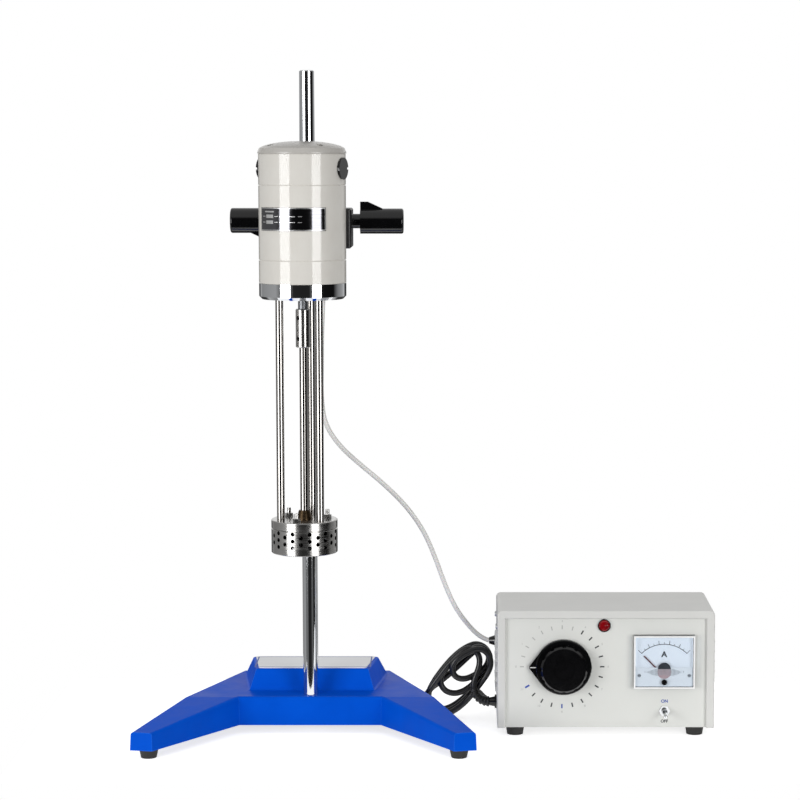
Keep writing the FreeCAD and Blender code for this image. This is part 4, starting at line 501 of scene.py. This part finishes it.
stain = add(turned_stainless, "TexNoise", Vector=place, Scale=1 / (12.5 * mm),
            Detail=3).outputs[0]
tone = add(turned_stainless, "Mix", data_type="RGBA", in0=stain,
           in6=srgb("A4A3A1"), in7=srgb("C0BFBD")).outputs[2]
# Painted shade: inside the ring and below its top, the metal is painted near black for the shade
# within the ring.
ring_inside, ring_top = 33.4, 231.3
inner = add(turned_stainless, "Math", operation="LESS_THAN", in0=radius,
            in1=ring_inside * mm).outputs[0]
low = add(turned_stainless, "Math", operation="LESS_THAN", in0=split.outputs[2],
          in1=ring_top * mm).outputs[0]
painted_shade_in_ring = add(turned_stainless, "Math", operation="MULTIPLY", in0=inner, in1=low).outputs[0]
tone = add(turned_stainless, "Mix", data_type="RGBA", in0=painted_shade_in_ring, in6=tone,
           in7=srgb("2A2928")).outputs[2]
sheen = add(turned_stainless, "MapRange", Value=rings, From_Min=0.3, From_Max=0.7,
            To_Min=0.16, To_Max=0.3).outputs[0]
rise = add(turned_stainless, "Bump", Strength=0.12, Distance=0.05 * mm, Height=rings).outputs[0]
add(turned_stainless, "OutputMaterial", Surface=add(
    turned_stainless, "BsdfPrincipled", Base_Color=tone, Metallic=1, Roughness=sheen,
    Normal=rise).outputs[0])
dress(turned_stainless, "head_top_plate", "head_studs", "head_nuts", "perforated_ring",
      "coupling", "shear_rotor")

# Rods and shaft are centreless-ground stainless bar: a greyer mirror than chrome, with a soft
# edge to what it reflects.
ground_bar = mottled("ground stainless bar", "8E8B88", "A6A4A1", (5, 5, 100),
                     rough=(0.08, 0.14), Metallic=1)
dress(ground_bar, "support_rods", "stirring_shaft")

# The coupling's set screws are blackened by oil quenching: dark, satin, a little brown.
black_oxide = mottled("black oxide steel", "0C0C0D", "1E1C1A", 1.111, detail=3,
                      rough=(0.3, 0.5), Metallic=0.6)
dress(black_oxide, "coupling_screws")

# The bush that guides the shaft is cast bronze, browned by use.
dark_bronze = mottled("dark bearing bronze", "33291E", "5C4C38", 4.545, detail=4,
                      rough=(0.25, 0.45), Metallic=1)
dress(dark_bronze, "hub_bush", "brush_arm")


# ---- Speed controller box -------------------------------------------------------------------
# A folded sheet cover with louvred sides slides over a tray whose turned-up front is the
# panel. Both are stoved in a pale grey satin paint with a fine grain.
sheet_paint = mottled("pale grey satin stoved paint", "CFCFCC", "D9D9D6", 35.71, detail=3,
                      rough=(0.34, 0.5), rough_by="skin",
                      skin=dict(size=0.7143, detail=2, strength=0.12, height=0.1), IOR=1.5)
dress(sheet_paint, "controller_cover", "controller_tray")

panel_paint = mottled("off-white satin stoved paint", "D6D7D3", "DFE0DC", 45.45, detail=3,
                      rough=(0.4, 0.55), rough_by="skin",
                      skin=dict(size=0.625, detail=2, strength=0.08, height=0.1), IOR=1.5)
dress(panel_paint, "front_panel")

# The transformer inside: enamelled copper wire, 1 mm thick, wound in level turns under varnish.
winding = blank("enamelled copper winding")
place = add(winding, "TexCoord").outputs["Object"]
wires = add(winding, "TexWave", Vector=place, wave_type="BANDS", bands_direction="Z",
            Scale=0.314 / (1.047 * mm), Distortion=0.3).outputs[0]
tone = add(winding, "Mix", data_type="RGBA", in0=wires,
           in6=srgb("7A3F1E"), in7=srgb("B8693A")).outputs[2]
rise = add(winding, "Bump", Strength=0.5, Distance=0.3 * mm, Height=wires).outputs[0]
add(winding, "OutputMaterial", Surface=add(
    winding, "BsdfPrincipled", Base_Color=tone, Metallic=0.8, Roughness=0.35, Coat_Weight=0.5,
    Normal=rise).outputs[0])
dress(winding, "transformer_core")


# ---- Panel print ------------------------------------------------------------------------------
# Screen-printed on the panel: 23 marks round the speed knob, one each 15 degrees from nine
# o'clock, plain numbers beyond them, and the two words at the switch. The upper marks are worn
# pale, and the whole dial is printed 1.5 mm left of the knob's axis.
panel_face = -23.58


def on_panel(x, z):
    """A place on the face of the panel."""
    return (x, panel_face, z)


def spoke(x, z, inner, outer, wide, turn):
    """An oblong that points away from (x, z), at a turn in degrees from the right."""
    away = Vector((math.cos(math.radians(turn)), math.sin(math.radians(turn))))
    side = Vector((away.y, -away.x)) * wide / 2
    middle = Vector((x, z))
    return [tuple(middle + away * inner - side), tuple(middle + away * inner + side),
            tuple(middle + away * outer + side), tuple(middle + away * outer - side)][::-1]


def words(name, text, high, at, material, body, bold=0.0):
    """Plain letters on a face towards the front, with strokes made bold mm wider each way."""
    data = bpy.data.curves.new(name, "FONT")
    data.body, data.size, data.offset = text, high * mm, bold * mm
    data.align_x, data.align_y = "CENTER", "CENTER"
    data.materials.append(material)
    made = bpy.data.objects.new(name, data)
    made.location = [c * mm for c in at]
    made.rotation_euler = (math.radians(90), 0, 0)
    bpy.context.collection.objects.link(made)
    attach(made, body)
    return made


dark_ink = mottled("black screen ink", "1C1E22", "34363B", 1.111, rough=0.45, IOR=1.5)
worn_ink = mottled("worn grey screen ink", "9A9B99", "C4C4C0", 2, detail=3, IOR=1.5)

dial_x, dial_z, marks_radius, numbers_radius = 139.9, 74.8, 42.2, 48.5
marks = {"pale": [], "dark": [], "blue": []}
for k in range(23):
    turn = 180 - 15 * k
    colour = "blue" if k in (18, 22) else "pale" if k < 8 else "dark"
    wide, reach = (1.8, 2.6) if k == 22 else (1.1, 2.1) if k < 8 else (1.4, 2.3)
    marks[colour].append(spoke(dial_x, dial_z, marks_radius - reach, marks_radius + reach,
                               wide, turn))
printed("speed_marks_worn", marks["pale"], on_panel, worn_ink, "stand")
printed("speed_marks", marks["dark"], on_panel, dark_ink, "stand")
printed("speed_marks_blue", marks["blue"], on_panel, blue_ink, "stand")
for k in range(12):
    turn = math.radians(180 - 30 * k)
    words(f"speed_number_{k}", str(k), 3.4,
          (dial_x + numbers_radius * math.cos(turn), panel_face,
           dial_z + numbers_radius * math.sin(turn)), worn_ink, "stand")
switch_x = 247.9
words("switch_on", "ON", 4.6, (switch_x, panel_face, 37.8), blue_ink, "stand", bold=0.14)
words("switch_off", "OFF", 4.4, (switch_x, panel_face, 16.4), dark_ink, "stand", bold=0.14)


# ---- Speed knob's line -----------------------------------------------------------------------
# A white line is filled into the tip of the moulded pointer, and turns with the knob.
white_fill = mottled("white filled line", "CFCFCC", "F0F0EE", 1.4286)
pointer_face = -27.9
printed("speed_pointer_line", [oblong(106.2, 74.3, 112.4, 75.3)],
        lambda x, z: (x, pointer_face, z), white_fill, "speed_control")


# ---- Pilot lamp ------------------------------------------------------------------------------
# A red acrylic lens in a chromed bezel. Unlit, the lens is deep red with a soft facet ripple.
red_acrylic = blank("red acrylic lens")
place = add(red_acrylic, "TexCoord").outputs["Object"]
depth = add(red_acrylic, "TexNoise", Vector=place, Scale=1 / (5 * mm), Detail=2).outputs[0]
tone = add(red_acrylic, "Mix", data_type="RGBA", in0=depth,
           in6=srgb("5E0308"), in7=srgb("9A0A14")).outputs[2]
facets = add(red_acrylic, "TexVoronoi", Vector=place, Scale=1 / (1.4286 * mm)).outputs[0]
rise = add(red_acrylic, "Bump", Strength=0.3, Distance=0.3 * mm, Height=facets).outputs[0]
add(red_acrylic, "OutputMaterial", Surface=add(
    red_acrylic, "BsdfPrincipled", Base_Color=tone, Roughness=0.12, IOR=1.49,
    Coat_Weight=0.5, Normal=rise).outputs[0])
dress(red_acrylic, "lamp_lens")
dress(plated_steel, "toggle_switch_body")


# ---- Ammeter ---------------------------------------------------------------------------------
# A square panel meter: black case behind the panel, a printed dial and a clear acrylic window.
# Clear acrylic shows only where it mirrors the room, more so at a slant.
clear_acrylic = blank("clear moulded acrylic")
place = add(clear_acrylic, "TexCoord").outputs["Object"]
flow = add(clear_acrylic, "TexNoise", Vector=place, Scale=1 / (16.67 * mm), Detail=1).outputs[0]
sheen = add(clear_acrylic, "MapRange", Value=flow, To_Min=0.03, To_Max=0.08).outputs[0]
slant = add(clear_acrylic, "Fresnel", IOR=1.49).outputs[0]
outside = add(clear_acrylic, "Math", operation="SUBTRACT", in0=1.0,
              in1=add(clear_acrylic, "NewGeometry").outputs["Backfacing"]).outputs[0]
slant = add(clear_acrylic, "Math", operation="MULTIPLY", in0=slant, in1=outside).outputs[0]
skin = add(clear_acrylic, "BsdfPrincipled", Base_Color=srgb("F2F6FA"), Roughness=sheen,
           Metallic=1).outputs[0]
through = add(clear_acrylic, "BsdfTransparent", Color=srgb("F7FAFD")).outputs[0]
add(clear_acrylic, "OutputMaterial", Surface=add(
    clear_acrylic, "MixShader", in0=slant, in1=through, in2=skin).outputs[0])
dress(clear_acrylic, "ammeter_window")

dial_print = mottled("pale blue printed dial", "F8FAFE", "FFFFFF", 2, detail=3)
dress(dial_print, "ammeter_dial")

needle_paint = mottled("dark red needle paint", "4A1418", "6E2026", 1.667, rough=0.4)
dress(needle_paint, "ammeter_needle")

meter_x, pivot_z, dial_face = 246.9, 66.0, -27.2


def on_dial(x, z):
    """A place on the face of the meter's dial, from the needle's pivot."""
    return (meter_x + x, dial_face, pivot_z + z)


def arc(inner, outer, start, end):
    """Short pieces of a ring about the pivot, from start to end in degrees from the right."""
    steps = max(1, math.ceil(abs(end - start) / 4))
    turns = [math.radians(start + (end - start) * k / steps) for k in range(steps + 1)]
    return [[(r * math.cos(t), r * math.sin(t))
             for r, t in ((outer, a), (outer, b), (inner, b), (inner, a))]
            for a, b in zip(turns, turns[1:])]


scale = arc(33.2, 33.9, 135, 45)
for k in range(6):
    scale.append(spoke(0, 0, 33.6, 38.4 if k in (0, 5) else 37.6, 0.55, 135 - 18 * k))
    if k < 5:
        scale.append(spoke(0, 0, 33.6, 35.8, 0.4, 126 - 18 * k))
printed("ammeter_scale", scale, on_dial, dark_ink, "stand")
words("ammeter_letter", "A", 8.5, (meter_x, dial_face, 88.6), dark_ink, "stand", bold=0.25)

# The lower third hides behind a milky cover with a fan of ribs over the red-brown coil, two
# small screws and, above it, the black half-round of the movement.
milky = mottled("milky moulded cover", "EEEEEE", "FAFAFA", 7.143, detail=3, rough=0.3, IOR=1.49)
rib_grey = mottled("grey moulded ribs", "8A8C8E", "B4B6B8", 3.333, detail=3, rough=0.4)
coil_red = mottled("red-brown coil seen through the cover", "B08C8C", "D6BCBC", 1.4286, detail=3,
                   rough=0.4)


def at_depth(depth):
    """Places on the meter at a depth in front of the panel, across and up from the pivot."""
    return lambda x, z: (meter_x + x, depth, pivot_z + z)


def disc(x, z, radius, start=0, end=360):
    """A round or part-round shape, from start to end in degrees from the right."""
    steps = [math.radians(start + (end - start) * k / 24) for k in range(25 if end < 360 else 24)]
    return [(x + radius * math.cos(t), z + radius * math.sin(t)) for t in steps]


printed("ammeter_frame", border(-32, -13, 32, 43, 1.6), at_depth(-31.56), milky, "stand")
printed("ammeter_cover", [oblong(-30.1, -11.1, 30.1, 9.2)], at_depth(-29.3), milky, "stand")
printed("ammeter_coil", [disc(0, 4.5, 7.4)], at_depth(-29.4), coil_red, "stand")
ribs = []
for k in range(-15, 16):
    x = 1.35 * k
    foot, top = 1.6 - 0.5 * abs(k) + 0.028 * x * x, 8.6 - 0.012 * x * x
    ribs.append(oblong(x - 0.25, foot, x + 0.25, top))
printed("ammeter_ribs", ribs, at_depth(-29.5), rib_grey, "stand")
printed("ammeter_hub", [disc(0, 7.6, 6.8, 0, 180)], at_depth(-29.6), dark_ink, "stand")
printed("ammeter_cover_screws", [disc(-26.2, 0.6, 1.9), disc(26.2, 0.6, 1.9)],
        at_depth(-29.5), rib_grey, "stand")
printed("ammeter_screw_slots", [oblong(-27.8, 0.35, -24.6, 0.85), oblong(24.6, 0.35, 27.8, 0.85)],
        at_depth(-29.6), dark_ink, "stand")


# ---- Floor, lamps and room -------------------------------------------------------------------
# A small pale floor that shows white and keeps the shadows, two soft boxes in front, and a
# plain room: light above and behind, grey at the left, dark at the right. Below the floor's
# level it gives soft surfaces the light that a wide floor would.
floor_paint = blank("white floor")
paths = add(floor_paint, "LightPath")
seen = add(floor_paint, "Math", operation="MAXIMUM", in0=paths.outputs["Is Camera Ray"],
           in1=paths.outputs["Is Glossy Ray"]).outputs[0]
seen = add(floor_paint, "Math", operation="MAXIMUM", in0=seen,
           in1=paths.outputs["Is Transmission Ray"]).outputs[0]
glow = add(floor_paint, "Math", operation="MULTIPLY", in0=seen, in1=0.72).outputs[0]
add(floor_paint, "OutputMaterial", Surface=add(
    floor_paint, "BsdfPrincipled", Base_Color=(0.8, 0.8, 0.8, 1), Roughness=0.9,
    Specular_IOR_Level=0, Emission_Color=(1, 1, 1, 1), Emission_Strength=glow).outputs[0])
floor = piece("floor", [(-0.42, -0.21, 0), (0.42, -0.21, 0), (0.42, 0.25, 0), (-0.42, 0.25, 0)],
              [[0, 1, 2, 3]], floor_paint, None)

lamp_reach, lamp_height = 2.2, 0.37
for name, turn, wide, tall, power in (("soft_box_left", -44, 1.0, 1.06, 24),
                                      ("soft_box_right", 37.5, 0.95, 1.06, 21)):
    light = bpy.data.lights.new(name, "AREA")
    light.shape, light.size, light.size_y, light.energy = "RECTANGLE", wide, tall, power
    lamp = bpy.data.objects.new(name, light)
    turn = math.radians(turn)
    lamp.location = (lamp_reach * math.sin(turn), -lamp_reach * math.cos(turn), lamp_height)
    lamp.rotation_euler = (math.radians(90), 0, turn)
    lamp.visible_camera = False
    bpy.context.collection.objects.link(lamp)

room = bpy.data.worlds.new("studio")
bpy.context.scene.world = room
room.use_nodes = True
room.node_tree.nodes.clear()
way = add(room, "SeparateXYZ", Vector=add(room, "TexCoord").outputs["Generated"])
toward = add(room, "Math", operation="MULTIPLY", in0=way.outputs[1], in1=-1.0).outputs[0]
turn = add(room, "Math", operation="ARCTAN2", in0=way.outputs[0], in1=toward).outputs[0]
turn = add(room, "MapRange", Value=turn, From_Min=-math.pi, From_Max=math.pi).outputs[0]
walls = add(room, "ValToRGB", Fac=turn)
# What the room shows at each turn: -1 and 1 are behind the object, 0 is in front of it.
stops = [(-1, 0.05), (-0.82, 0.05), (-0.79, 0.5), (-0.73, 0.3), (-0.4, 0.4), (-0.33, 0.18),
         (-0.17, 0.18), (-0.12, 0.02), (0.12, 0.02), (0.14, 0.12), (0.28, 0.12), (0.3, 0.006),
         (0.52, 0.006), (0.62, 0.25), (0.74, 0.42), (0.8, 0.6), (0.84, 0.05), (1, 0.05)]
ramp = walls.color_ramp.elements
while len(ramp) < len(stops):
    ramp.new(0.5)
for stop, (at, level) in zip(ramp, stops):
    stop.position = (at + 1) / 2
for stop, (at, level) in zip(ramp, stops):    # a stop may change places when it is moved
    stop.color = (level, level, level, 1)
high = add(room, "MapRange", Value=way.outputs[2], From_Min=0.35, From_Max=0.6).outputs[0]
light = add(room, "Mix", data_type="RGBA", in0=high, in6=walls.outputs[0],
            in7=(0.64, 0.64, 0.64, 1)).outputs[2]
behind = add(room, "MapRange", Value=way.outputs[1], From_Min=0.75, From_Max=0.85).outputs[0]
above = add(room, "MapRange", Value=way.outputs[2], From_Min=-0.01, From_Max=0.03).outputs[0]
share = add(room, "Math", operation="MULTIPLY", in0=behind, in1=above).outputs[0]
light = add(room, "Mix", data_type="RGBA", in0=share, in6=light, in7=(1, 1, 1, 1)).outputs[2]
paths = add(room, "LightPath")
below = add(room, "Math", operation="SUBTRACT", in0=1.0, in1=above).outputs[0]
share = add(room, "Math", operation="MULTIPLY", in0=below,
            in1=paths.outputs["Is Diffuse Ray"]).outputs[0]
light = add(room, "Mix", data_type="RGBA", in0=share, in6=light,
            in7=(0.24, 0.24, 0.24, 1)).outputs[2]
seen = add(room, "Math", operation="MAXIMUM", in0=paths.outputs["Is Camera Ray"],
           in1=paths.outputs["Is Transmission Ray"]).outputs[0]
light = add(room, "Mix", data_type="RGBA", in0=seen, in6=light, in7=(1, 1, 1, 1)).outputs[2]
add(room, "OutputWorld", Surface=add(room, "Background", Color=light, Strength=1.0).outputs[0])

bpy.context.scene.view_settings.view_transform = "Standard"
